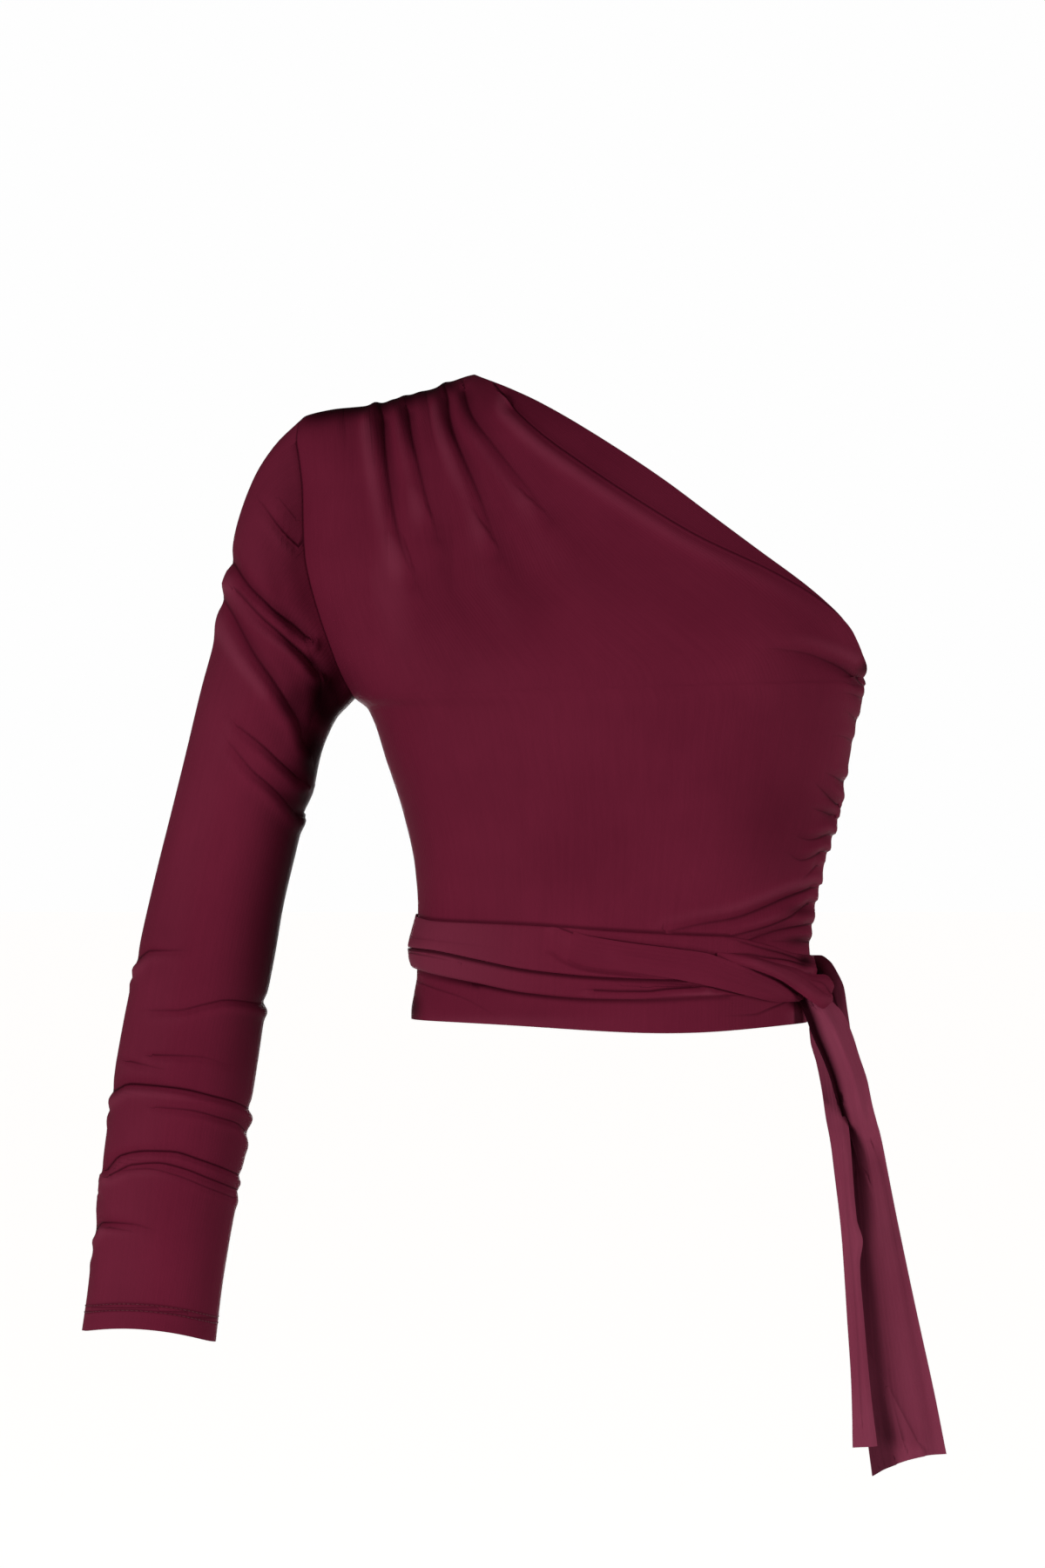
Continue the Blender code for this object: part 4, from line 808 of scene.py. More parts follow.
def arm_ring(s, shares):
    """One section of the sleeve at a share of its length, at shares of the way round from its upper edge."""
    ox, oz, ix, iz, ahead, behind, middle, n = (float(along(s, ARM_AT, ARM[:, k])) for k in range(8))
    turn = np.linspace(0, np.pi, 500)
    c, q = np.cos(turn), np.sin(turn) ** (2 / n)
    c = np.sign(c) * np.abs(c) ** (2 / n)
    x, z = (ox + ix) / 2 + (ox - ix) / 2 * c, (oz + iz) / 2 + (oz - iz) / 2 * c
    lift = 6.5 * ease((s - 0.93) / 0.07)  # the cuff's edge arches up over the back of the hand
    ahead_half = np.stack([x, middle - ahead * q, z + lift * q**2], 1)
    behind_half = np.stack([x, middle + behind * q, z + lift * 0.3 * q**2], 1)
    first, second = resample(ahead_half, 2 * shares), resample(behind_half, 2 * (1 - shares))
    return np.where((shares <= 0.5)[:, None], first, second)


def edge_out(outer, inner, side):
    """Directions out of a panel's armhole edge, in the panel's own plane."""
    edge = outer[: ARM_ROWS + 1, 0]
    t = np.cross(np.gradient(edge, axis=0), edge - inner[: ARM_ROWS + 1, 0]) * side
    t /= np.linalg.norm(t, axis=1, keepdims=True)
    return -t if t[ARM_ROWS // 2, 0] > 0 else t


def edge_shares(outer):
    """Share of the armhole's length at each point of a panel's armhole edge."""
    s = run_of(outer[: ARM_ROWS + 1, 0])
    return s / s[-1]


def armhole_ring(ahead_grid, behind_grid, ahead_out, behind_out):
    """The sleeve's first ring: down the front panel's armhole edge and up the back panel's."""
    ahead = ahead_grid[: ARM_ROWS + 1, 0] + ahead_out * SEAM_OUT
    behind = behind_grid[: ARM_ROWS + 1, 0] + behind_out * SEAM_OUT
    top, low = (ahead[0] + behind[0]) / 2, (ahead[-1] + behind[-1]) / 2
    return np.concatenate([[top], ahead[1:-1], [low], behind[1:-1][::-1]])


front_out, back_out = edge_out(front_outer, front_inner, -1), edge_out(back_outer, back_inner, 1)
first_outer = armhole_ring(front_outer, back_outer, front_out, back_out)
first_inner = armhole_ring(front_inner, back_inner, front_out, back_out)
print("points round the armhole:", len(first_outer))

# %% [markdown]
# The sleeve is long for its arm, so it creases in two places: long slanted drags from the cap to the
# underarm, and short rings above the wrist. Each crease goes on round the back, a little lower and weaker,
# by the last number in its row. The rows with a negative depth are the small bulges on the outline. The
# side of the sleeve that faces the body gets painted shade, nearly black, as the body keeps the light from
# it.

# %% Sleeve creases
SLEEVE_CREASES = [
    # points, width, down, up, strength at the start, at the end, share of it on the back
    ([(-80, -64), (-66, -82), (-54, -94)], 3.4, 1.6, 0.9, 0.2, 1, 0.6),
    ([(-68, -62), (-58, -74)], 3.0, 0.9, 0.5, 0.4, 0.6, 0.4),
    ([(-104, -98), (-100, -102), (-90, -116), (-76, -128), (-60, -140), (-50, -149)],
     4.6, 3.8, 2.2, 0.8, 0.8, 0.8),
    ([(-95, -120), (-80, -136.5), (-65, -149), (-54, -159), (-44, -170)], 4.2, 3.8, 2.0, 0.4, 1, 0.5),
    ([(-105, -124), (-95.7, -142), (-85.8, -159), (-73, -175.5), (-62, -191), (-54, -205), (-51, -215)],
     5.6, 4.6, 2.6, 0.6, 0.7, 0.9),
    ([(-46, -166), (-42, -176), (-41, -188), (-46, -200)], 5.0, 1.8, 0.4, 0.6, 0.6, 0.6),
    ([(-94, -206), (-78.6, -218), (-67.6, -228), (-56, -238)], 4.4, 3.0, 1.8, 0.3, 1, 0.8),
    ([(-98.5, -218), (-85.8, -233), (-71.5, -245), (-56, -261)], 4.4, 3.0, 1.8, 0.2, 1, 0.8),
    ([(-160, -354), (-150, -347), (-129, -347)], 3.2, 2.2, 1.2, 0.9, 0.1, 0.8),
    ([(-148, -385), (-133.7, -385), (-115, -381), (-100.6, -378.4), (-76, -381)], 3.6, 2.6, 1.6, 0.2, 1, 0.8),
    ([(-148, -413), (-119.4, -414), (-100, -419)], 3.2, 1.6, 1.0, 0.6, 0.2, 0.7),
    ([(-163, -417), (-143, -422)], 2.8, 1.2, 0.8, 0.8, 0.2, 0.5),
    ([(-174, -436), (-164, -431.2), (-148, -432.3), (-129.3, -434.5), (-110, -439), (-95.7, -442.8),
      (-84, -448)], 3.6, 2.0, 1.3, 1, 1, 0.9),
    ([(-146.3, -446), (-124.3, -448), (-105.6, -452.7), (-93, -457), (-84, -468)],
     3.2, 1.8, 1.1, 0.3, 1, 0.7),
    ([(-178, -485), (-169.4, -476.3), (-153.5, -473.6), (-137, -474), (-117.2, -479.6), (-102.3, -485),
      (-88, -491)], 3.2, 1.8, 1.2, 0.9, 1, 0.9),
    ([(-175, -489), (-161.7, -482.4), (-145.8, -481.3), (-129.8, -484.6), (-112.2, -491.2), (-92, -499)],
     3.0, 1.7, 1.0, 0.8, 1, 0.7),
    ([(-168, -486), (-152, -485), (-134, -489), (-116, -496), (-98, -503)], 2.6, 1.2, 0.7, 0.3, 1, 0.6),
    ([(-187, -526), (-181, -518.7), (-161.7, -519.8), (-150, -523)], 3.2, 2.4, 1.3, 1, 0.1, 0.8),
    ([(-176, -522), (-162, -524.5)], 2.6, 1.0, 0.6, 0.8, 0.2, 0.4),
    ([(-164, -356), (-162, -360)], 4.0, -1.4, 0, 1, 1, 0.8),
    ([(-179, -440), (-177, -444)], 4.0, -1.4, 0, 1, 1, 0.8),
    ([(-184, -493), (-182, -498)], 4.0, -1.2, 0, 1, 1, 0.8),
    ([(-84, -453), (-85, -457)], 4.0, -1.4, 0, 1, 1, 0.8),
    ([(-84, -476), (-85, -480)], 4.0, -1.6, 0, 1, 1, 0.8),
    ([(-88, -500), (-90, -504)], 4.0, -1.4, 0, 1, 1, 0.8),
    ([(-104, -118), (-106, -122)], 8.0, -1.4, 0, 1, 1, 0.8),
]


def sleeve_rise(p, n):
    """Height and lines of the creases, drawn as seen on the front and at their true place on the back."""
    x, z = seen(p)
    ahead = ease((0.35 - n[..., 1]) / 0.7)
    clear = ease(np.abs(2 * ahead - 1) * 5)
    high, lines = np.zeros(x.shape), empty_lines(x.shape)
    for number, (points, width, down, up, start, end, behind) in enumerate(SLEEVE_CREASES):
        turned = [(a, b - 5 + 0.12 * (a + 130)) for a, b in points]
        near, near_power = near_path(x, z, points, start, end)
        rear, rear_power = near_path(p[..., 0], p[..., 2], turned, start, end)
        high += near_power * ahead * crease_height(near, width, down, up)
        high += rear_power * behind * (1 - ahead) * crease_height(rear, width * 1.1, down, up)
        if down > 0:
            signed = np.where(ahead > 0.5, near, rear)
            power = np.where(ahead > 0.5, near_power, rear_power * behind) * clear
            draw_line(lines[number % 2], signed, power * min(1.0, down / 1.8), 0.2 * width)
    return high, lines


INNER_SIDE = np.array([
    # share of the sleeve's length, shade on the side that faces the body
    (0, 0.1), (0.16, 0.75), (0.33, 0.92), (0.5, 0.94), (0.62, 0.66), (0.76, 0.34), (0.9, 0.18), (1, 0.1),
])
CUFF_ROWS = (11.5, 15.5)  # mm from the cuff's edge up to each row of stitches
SLEEVE_SHADE = [
    # x, z, half width, half height, strength
    (-38, -190, 17, 26, 1.1), (-56, -190, 16, 14, 0.6), (-46, -226, 12, 30, 1.05), (-52, -252, 8, 16, 0.9),
]


def sleeve():
    """Outer and inner face, dip and lines. The rings pass from the armhole to the arm's own sections."""
    half, half_back = edge_shares(front_outer) / 2, edge_shares(back_outer) / 2
    shares0 = np.r_[half, 1 - half_back[1:-1][::-1]]
    even = np.arange(2 * ARM_ROWS) / (2 * ARM_ROWS)
    start = first_outer - arm_ring(0.0, shares0)
    round_it = np.stack([shares0 + (even - shares0) * ease(s / 0.3) for s in SLEEVE_ROWS])
    base = np.stack([arm_ring(s, r) + start * (1 - ease(s / 0.13)) for s, r in zip(SLEEVE_ROWS, round_it)])
    middle = base.mean(axis=1, keepdims=True)
    n = normals(base, base - middle, loop=True)
    high, lines = sleeve_rise(base, n)
    rise = high * (ease(SLEEVE_ROWS / 0.03) * (1 - 0.8 * ease((SLEEVE_ROWS - 0.93) / 0.03)))[:, None]
    outer = base + n * rise[..., None]
    outer[0] = first_outer
    m = normals(outer, outer - middle, loop=True)
    inner = outer - m * np.where(SLEEVE_ROWS > 0.96, HEM_WALL, WALL)[:, None, None]
    inner[0] = first_inner
    run = run_of(outer)
    draw_line(lines[0], run, np.full(run.shape, SEAM_STRENGTH), SEAM_WIDTH)
    to_edge = run[-1] - run
    for above in CUFF_ROWS:
        draw_line(lines[1], to_edge - above, np.full(run.shape, 0.5), 0.9)
    # Painted shade on the side that faces the body and in the spots of SLEEVE_SHADE, and a little painted
    # light on the front near the upper edge.
    turned_in = along(SLEEVE_ROWS, INNER_SIDE[:, 0], INNER_SIDE[:, 1])[:, None] * bell(round_it - 0.5, 0.16)
    shade = np.maximum(turned_in, shaded(*seen(outer), SLEEVE_SHADE))
    lit = 0.06 * bell(round_it - 0.12, 0.14)
    return outer, inner, shade_over(tone(rise, 4.5, 2.2) - lit, shade), lines


sleeve_outer, sleeve_inner, sleeve_dip, sleeve_lines = sleeve()
wall("sleeve_cloth", sleeve_outer, sleeve_inner, sleeve_dip, sleeve_lines, loop=True)

# %% [markdown]
# The sash lies on the panels, so it is made from the panels' own points. A ring of stations runs round the
# waist, each with its own column of the panel and a direction straight out of the body.

# %% Stations round the waist
SASH_CLEAR = 0.7  # from the panels to the inner face of the sash
WAIST = slice(ARM_ROWS, None)
RING = [front_outer[WAIST, j] for j in range(front_outer.shape[1])]
RING += [back_outer[WAIST, j] for j in range(back_outer.shape[1] - 2, 0, -1)]


def on_waist(station, z):
    """x and y of the panel at a station, at given heights."""
    column = RING[station]
    return np.interp(-z, -column[:, 2], column[:, 0]), np.interp(-z, -column[:, 2], column[:, 1])


def ring_at(z):
    """The panels' points round the waist, at a height for each station."""
    points = []
    for station, height in enumerate(z):
        x, y = on_waist(station, height)
        points.append((x, 0.0 if abs(y) < 1 else y, height))
    return np.array(points)


WAIST_Z = -355.0  # a height near the middle of the sash
MID_RING = ring_at(np.full(len(RING), WAIST_Z))
RING_OUT = np.roll(MID_RING, -1, 0) - np.roll(MID_RING, 1, 0)
RING_OUT = np.stack([-RING_OUT[:, 1], RING_OUT[:, 0], np.zeros(len(RING))], 1)
RING_OUT /= np.linalg.norm(RING_OUT, axis=1, keepdims=True)
RING_OUT *= np.sign(np.sum(RING_OUT * (MID_RING - [MIDLINE, 0, WAIST_Z])))
GIRTH = np.linalg.norm(MID_RING - np.roll(MID_RING, 1, 0), axis=1).sum()
print("stations round the waist:", len(RING), "girth in mm:", round(GIRTH))

# %% [markdown]
# Each turn of the sash is a strip that is bunched as it is wound, so its face has soft folds along its
# length. A section through it is drawn once, as shares of its height and thickness, and swept round the
# stations. The folds then come from a table of creases, as on the panels. Where the crossing end lies on
# it, it is pressed flat.

# %% Turns of the sash
STRAND = np.array([
    # x, its upper edge, its lower edge, as seen from the front
    (104, -336.0, -346.0), (112, -334.6, -352.0), (127, -338.0, -357.2), (152, -342.2, -360.4),
    (180, -345.8, -364.8), (200, -348.8, -369.0), (215, -354.2, -372.6), (231, -360.2, -376.8),
    (246, -367.0, -379.6), (257, -373.2, -379.4),
], float)
UPPER_FACE = np.array([
    # share of the height from the lower edge, share of the thickness
    (0.0, 0.85), (0.03, 1.04), (0.10, 1.12), (0.25, 1.14), (0.50, 1.02), (0.75, 0.80), (0.92, 0.56),
    (0.98, 0.40), (1.0, 0.22),
])
LOWER_FACE = np.array([
    # the same columns
    (0.0, 0.22), (0.06, 0.66), (0.2, 0.96), (0.5, 1.14), (0.8, 1.22), (0.96, 1.22), (1.0, 1.15),
])
UPPER_CREASES = [
    # points, width, down, up, strength at the start, at the end, steep side, darkness of the painted shade
    # line
    ([(109, -333), (123.8, -338.3), (140.3, -341), (169, -345), (190, -347.8), (210, -352)],
     3.6, 0.5, 0.3, 0.6, 1, 1, 0.9),
    ([(222, -341.6), (236.5, -346), (248.6, -349.3), (259, -353)], 3.4, 0.9, 0.5, 0.4, 1, 1, 1),
    ([(211, -349.6), (223, -349.4), (236.5, -351.5), (248.6, -353.1), (259, -356)],
     3.4, 0.9, 0.5, 0.3, 1, 1, 1),
    ([(14, -338), (34, -341), (70, -345.5)], 3.0, 0.4, 0.2, 0.8, 0.0, 1, 0.25),
]
LOWER_CREASES = [
    # The first row has no depth: it paints only the line of shade between the two turns.
    ([(12, -345.4), (30, -347.4), (57, -353.2), (89, -359.8), (131, -364.2), (156, -365.4), (188, -366.2)],
     5.6, 0, 0, 1, 0.8, -1, 1),
    ([(131, -372.2), (149, -372.9), (163, -372.9), (177, -371.3), (197, -370.0)],
     3.8, 0.9, 0.4, 0.7, 0.9, 1, 1),
    ([(14, -347.4), (27, -350.2), (44, -354)], 2.8, 0.3, 0.2, 1, 0, 1, 0.8),
    ([(150, -366.5), (180, -368.2), (206, -370.6)], 3.2, 0.6, 0.4, 0.2, 1, 1, 0.8),
    ([(206, -371), (226, -375.5), (250, -377)], 3.4, 0.6, 0.3, 0.8, 1, 1, 0.9),
]
KNOT_SHADE_SPOT = [(261, -353.5, 5.5, 4.0, 0.95)]  # the shade beside the knot, in the columns of FRONT_SHADE
STRAND_CREASES = [
    ([(214, -350.5), (224, -354.5), (233, -360.2), (248, -367.2), (259, -375)],
     3.4, 0.3, 0.2, 0.5, 1, 1, 1),
    ([(150, -349), (190, -357), (222, -368)], 5.0, 0.5, 0.5, 0.3, 0.3, 1, 0.2),
]


def sash_line(column):
    """Heights of one line of the sash at every station round the waist."""
    return sash_height(seen(MID_RING)[0], MID_RING[:, 0], MID_RING[:, 1], column)


def under_strand(x, z, y):
    """1 where the crossing end lies on the turns."""
    top, low = along(x, STRAND[:, 0], STRAND[:, 1]), along(x, STRAND[:, 0], STRAND[:, 2])
    return ease((top + 4 - z) / 3) * ease((z - low + 4) / 3) * ease((x - 98) / 8) * (y < 0)


def turn(name, top_column, low_column, face, thick, arm_side, table):
    """One turn. arm_side is how much fuller it is on the arm's side, at its lower and at its upper edge."""
    top, low = sash_line(top_column) - 0.2, sash_line(low_column) + 0.2
    levels = (1 - np.cos(np.linspace(0, np.pi, 34))) / 2
    p = np.array([ring_at(low + (top - low) * level) for level in levels])
    x, z = seen(p)
    high, lines = creased(x, z, table)
    behind = p[..., 1] > 0.5
    high, lines[..., 1] = np.where(behind, 0, high), np.where(behind, 0, lines[..., 1])
    pressed = under_strand(x, z, p[..., 1])
    out = along(levels, face[:, 0], face[:, 1])[:, None]
    fuller = thick + bell(x - 12, 22) * (arm_side[0] + (arm_side[1] - arm_side[0]) * levels[:, None])
    d = SASH_CLEAR + out * (fuller + (1.6 - fuller) * pressed) + high * (1 - pressed)
    outer = p + RING_OUT * np.maximum(d, SASH_CLEAR + 0.3)[..., None]
    # Painted shade beside the knot, and painted light on the front near the arm's side.
    knot_shade = shaded(x, z, KNOT_SHADE_SPOT) * (p[..., 1] < 0)
    lit = 0.22 * bell(x - 26, 48) * (p[..., 1] < 0)
    dip = shade_over(tone(high, 2, 1) - lit, knot_shade)
    wall(name, outer, p + RING_OUT * SASH_CLEAR, dip, lines, loop=True)
    return outer


upper = turn("upper_wrap_cloth", 1, 2, UPPER_FACE, 3.6, (1.0, -2.2), UPPER_CREASES)
lower = turn("lower_wrap_cloth", 2, 3, LOWER_FACE, 2.2, (1.2, 2.2), LOWER_CREASES)

# %% [markdown]
# The end that crosses the front lies on both turns. How far out they stand is measured at each station, and
# the strip is laid just clear of that.

# %% The crossing end


def turn_reach(station, z):
    """How far out the two turns stand at a station, near each height."""
    reach = np.full(len(z), SASH_CLEAR)
    for grid in (upper, lower):
        section = grid[:, station]
        x, y = on_waist(station, section[:, 2])
        lift = (section[:, 0] - x) * RING_OUT[station, 0] + (section[:, 1] - y) * RING_OUT[station, 1]
        fine = np.linspace(section[0, 2], section[-1, 2], 80)
        fine_lift = np.interp(fine, section[:, 2], lift)
        near = np.abs(fine[None] - z[:, None]) < 2.5
        reach = np.maximum(reach, np.where(near, fine_lift[None], 0).max(1))
    return reach


def strand(name, lift, thick, bulge, first, last, across=30):
    """The crossing end, between two x as seen. lift is how far it clears the turns, in mm."""
    x_seen, _ = seen(MID_RING)
    stations = [i for i in range(front_outer.shape[1]) if first <= x_seen[i] <= last]
    shares = np.linspace(0, 1, across)
    outer, inner = [], []
    for n, i in enumerate(stations):
        k = seen_scale(MID_RING[i, 1])
        edge = [VIEW_Z + (float(along(x_seen[i], STRAND[:, 0], STRAND[:, c])) - VIEW_Z) / k for c in (1, 2)]
        z = edge[1] + (edge[0] - edge[1]) * shares
        x, y = on_waist(i, z)
        point = np.stack([x, y, z], 1)
        shown = ease(n / (0.3 * len(stations)))  # its far end passes under the upper turn
        under = turn_reach(i, z) + lift
        under = np.convolve(np.pad(under, 3, mode="edge"), np.ones(7) / 7, mode="valid")
        under = np.maximum(under, turn_reach(i, z) + lift * 0.6) - 2.4 * (1 - shown)
        swell = bulge * np.sin(np.pi * (0.12 + 0.76 * shares)) * shown
        above = under + thick * (0.4 + 0.6 * shown) + swell
        inner.append(point + RING_OUT[i] * under[:, None])
        outer.append(point + RING_OUT[i] * above[:, None])
    outer = np.array(outer)
    high, lines = creased(*seen(outer), STRAND_CREASES)
    wall(name, outer, np.array(inner), tone(high, 2, 1), lines)


strand("crossing_end_cloth", 0.6, 1.5, 1.6, 104, 259)

# %% [markdown]
# The knot and the two tails are ribbons. Each is lofted between two listed edges, as they are seen from
# the front, then lifted off flat by a small function that gives it its long soft folds. A second function
# gives the painted shade on its two faces. In both, s is the share of the way along and w of the way across.

# %% Ribbons


def placed(x, y, z):
    """A point given as seen from the front, at its true place."""
    k = seen_scale(y)
    return np.array([VIEW_X + (x - VIEW_X) / k, y, VIEW_Z + (z - VIEW_Z) / k])


def ribbon(name, table, relief, rows, across, thick, creases, droop=None, shade=None, cloth=None):
    """A strip between two edges. relief lifts it off flat, and droop moves it before that."""
    first = np.array([placed(*r[:3]) for r in table])
    second = np.array([placed(*r[3:6]) for r in table])
    run = run_of((first + second) / 2)
    run /= run[-1]
    s, w = np.linspace(0, 1, rows), np.linspace(0, 1, across)
    a = np.stack([along(s, run, first[:, k]) for k in range(3)], 1)
    b = np.stack([along(s, run, second[:, k]) for k in range(3)], 1)
    flat = a[:, None] + (b - a)[:, None] * w[None, :, None]
    if droop is not None:
        flat = flat + droop(s[:, None], w[None, :])
    high, lines = creased(*seen(flat), creases)
    lift = relief(s[:, None], w[None, :]) + high
    shaped = flat + normals(flat, (0, -1, 0)) * lift[..., None]
    half_wall = normals(shaped, (0, -1, 0)) * thick / 2
    # Painted shade in hollows and a painted highlight on raised parts; a shade function's painted shade is
    # laid over it, the darker of the two winning.
    dip = tone(lift, 3.5, 6.0)
    outside, inside = shade(s[:, None], w[None, :]) if shade else (dip, dip)
    outside, inside = np.maximum(dip, outside), np.maximum(dip, inside)
    wall(name, shaped + half_wall, shaped - half_wall, outside, lines, False, inside, cloth)


KNOT = [
    # upper edge x, y, z, lower edge x, y, z, as seen from the front
    (208, -80.0, -348.5, 208, -80.0, -351.0), (229, -75.5, -351.2, 230, -76, -358.2),
    (245, -64.5, -355.5, 247, -66, -365.2), (258.5, -51, -358.8, 259, -54.6, -373.2),
    (268, -44, -362.6, 269, -49, -380.4), (275.5, -38, -362.6, 274.5, -44, -383.6),
    (280, -31, -366.5, 278, -36, -379.5), (279, -24, -369, 276, -27, -376),
]
TAIL_FRONT = [
    # left edge x, y, z, right edge x, y, z, as seen from the front
    (257.5, -38, -374.5, 276, -33, -375), (260.5, -42, -379, 280.5, -33, -380),
    (264.5, -43.5, -388, 287, -33.5, -386.5),
    (269.5, -46, -401, 293.5, -35, -401), (275.5, -46, -414, 297.5, -36, -414),
    (281, -45, -429, 302.5, -37, -429), (284.5, -42, -443, 306, -37, -445),
    (287.0, -38, -453, 308.6, -37, -454), (288.5, -34, -464, 311, -35, -462),
    (292.5, -31, -486, 315.8, -32, -486), (294.5, -31, -517, 322.0, -30, -517),
    (297, -32, -572, 333.5, -29, -572), (300, -33, -627, 345.5, -29, -627),
    (306.3, -34, -679, 353, -29, -665),
]
TAIL_BACK = [
    # outer edge x, y, z, inner edge x, y, z, as seen from the front
    (216.2, 63.6, -357, 216.2, 63.6, -360), (232.2, 57.7, -353.4, 232.2, 57.7, -367),
    (247.4, 48.8, -351.4, 247.4, 48.8, -374), (259.3, 38.4, -350.6, 258.8, 38.4, -377),
    (267.2, 27.1, -350.2, 266.4, 27.1, -378), (274.4, 13, -350.4, 271.6, 15, -380),
    (279.5, 2, -353.5, 271.5, 6, -384), (284.5, -7, -361, 270.5, -1, -388), (288.8, -14, -371, 269, -8, -392),
    (290.5, -18, -384, 266.5, -15, -397), (292.3, -21, -398, 267.2, -19, -405),
    (293, -24, -414, 270.8, -25, -418), (289, -26, -434, 274.4, -31, -435),
    (290.0, -31, -452, 277, -39, -452),
    (291.8, -41, -468, 279.7, -45, -467), (293.5, -48, -490, 282.4, -50, -489),
    (296.0, -52, -517, 285.7, -52, -517), (299.8, -53, -531, 287, -53, -531),
    (298, -53, -545, 288, -53, -545), (300.4, -53, -578, 290.1, -53, -578),
    (304.7, -52, -625, 293, -53, -625), (309.0, -50, -660, 293.8, -52, -661),
]


FRONT_TAIL_CREASES = [
    # points, width, down, up, strength at the start, at the end, steep side, darkness of the painted shade
    # line
    ([(272, -386), (282, -404), (294, -430), (305, -464)], 5.0, -2.2, 0, 1, 0.8, 1, 0),
    ([(268, -384), (275, -401), (284, -424), (289, -444)], 5.0, 2.0, 0.6, 0.6, 1, -1, 0.8),
    ([(286, -446), (290, -458), (295.4, -470), (300.5, -484)], 5.0, 2.4, 1.4, 1, 0.7, 1, 1),
    ([(293, -462), (299, -486), (302, -514), (303.5, -542), (305.5, -578), (308, -609), (311, -641),
      (314, -668)], 12.0, 1.2, 0, 1, 0.6, 1, 1),
    ([(310.8, -612), (333.9, -656)], 4.6, 1.4, 1.4, 0.2, 1, 1, 0.4),
    ([(317.4, -628), (325, -656)], 4.0, 1.1, 1.1, 0.2, 1, 1, 0.4),
    ([(312, -644), (318.5, -664)], 3.6, 1.1, 1.1, 0.2, 1, 1, 0.5),
]
BACK_TAIL_CREASES = [
    # the same columns, as in the next table
    ([(262, -354), (274, -362), (283, -378), (287, -398), (288, -420)], 4.4, 1.8, 1.0, 1, 0.6, -1, 1),
    ([(287, -476), (291, -520), (296, -580), (299, -640)], 3.6, 0.5, 0.5, 0.4, 0.8, 1, 0.25),
]
KNOT_CREASES = [
    ([(236, -354.5), (252, -360), (264, -367), (273, -374)], 3.6, 0.8, 0.6, 0.2, 0.8, 1, 0.4),
    ([(266, -366), (273, -368), (278, -374)], 3.0, 0.8, 0.5, 0.3, 1, 1, 0.5),
]


def knot_relief(s, w):
    """A full loop with a groove either side of its middle."""
    return 2.6 * np.sin(np.pi * w) * ease(s / 0.3) + 0.6 * np.sin(3 * np.pi * w) * s


def tail_front_relief(s, w):
    """A roll down the middle, and a hollow near each edge."""
    roll = 3.4 * bell(w - 0.46, 0.2) * (1 - 0.55 * s)
    groove = -2.0 * bell(w - 0.14, 0.1) - 1.4 * bell(w - 0.82, 0.1) * s
    return (roll + groove) * ease(s / 0.12)


def tail_front_droop(s, w):
    """The cut end is a slant that hollows in its middle."""
    lift = 3.5 * np.sin(np.pi * w) * ease((s - 0.8) / 0.2)
    return np.stack([np.zeros_like(lift), np.zeros_like(lift), lift], -1)


def tail_back_shade(s, w):
    """Shade of the outer and the inner face: dark inside the bend at the side, but for its lit outer edge."""
    inside = 0.85 * ease((w - 0.1) / 0.25) * ease((0.34 - s) / 0.06)
    return 0 * inside, inside


def tail_front_shade(s, w):
    """Shade of the outer and the inner face: dark beside the left edge, behind the roll and the other end."""
    edge = 0.34 + 0.1 * ease((s - 0.3) / 0.1)
    turned = 1.05 * ease((edge - w) / 0.2) * (1 - 0.4 * s)
    return turned, turned * ease((0.3 - s) / 0.06)


def tail_back_relief(s, w):
    """An uneven arch that flattens towards the cut end."""
    return (1.8 * np.sin(np.pi * w) + 0.9 * np.sin(2 * np.pi * w)) * ease(s / 0.15) * (1 - 0.4 * s)


ribbon("knot_cloth", KNOT, knot_relief, 120, 50, 1.4, KNOT_CREASES)
ribbon(
    "front_tail_cloth", TAIL_FRONT, tail_front_relief, 220, 60, 1.3, FRONT_TAIL_CREASES,
    tail_front_droop, tail_front_shade, TAIL_JERSEY_PAINTED_LIGHT,
)
ribbon(
    "back_tail_cloth", TAIL_BACK, tail_back_relief, 260, 40, 1.3, BACK_TAIL_CREASES,
    None, tail_back_shade, TAIL_JERSEY_PAINTED_LIGHT,
)

# %% [markdown]
# The cuff is turned in and held by a coverstitch: two rows of short stitches 4 mm apart, worked by a twin
# needle. They repeat along a line, so Geometry Nodes lay them: the line is resampled to the stitch spacing,
# and a small rounded stitch is put at each point, turned along the line. The instances are then made real.

# %% Stitches


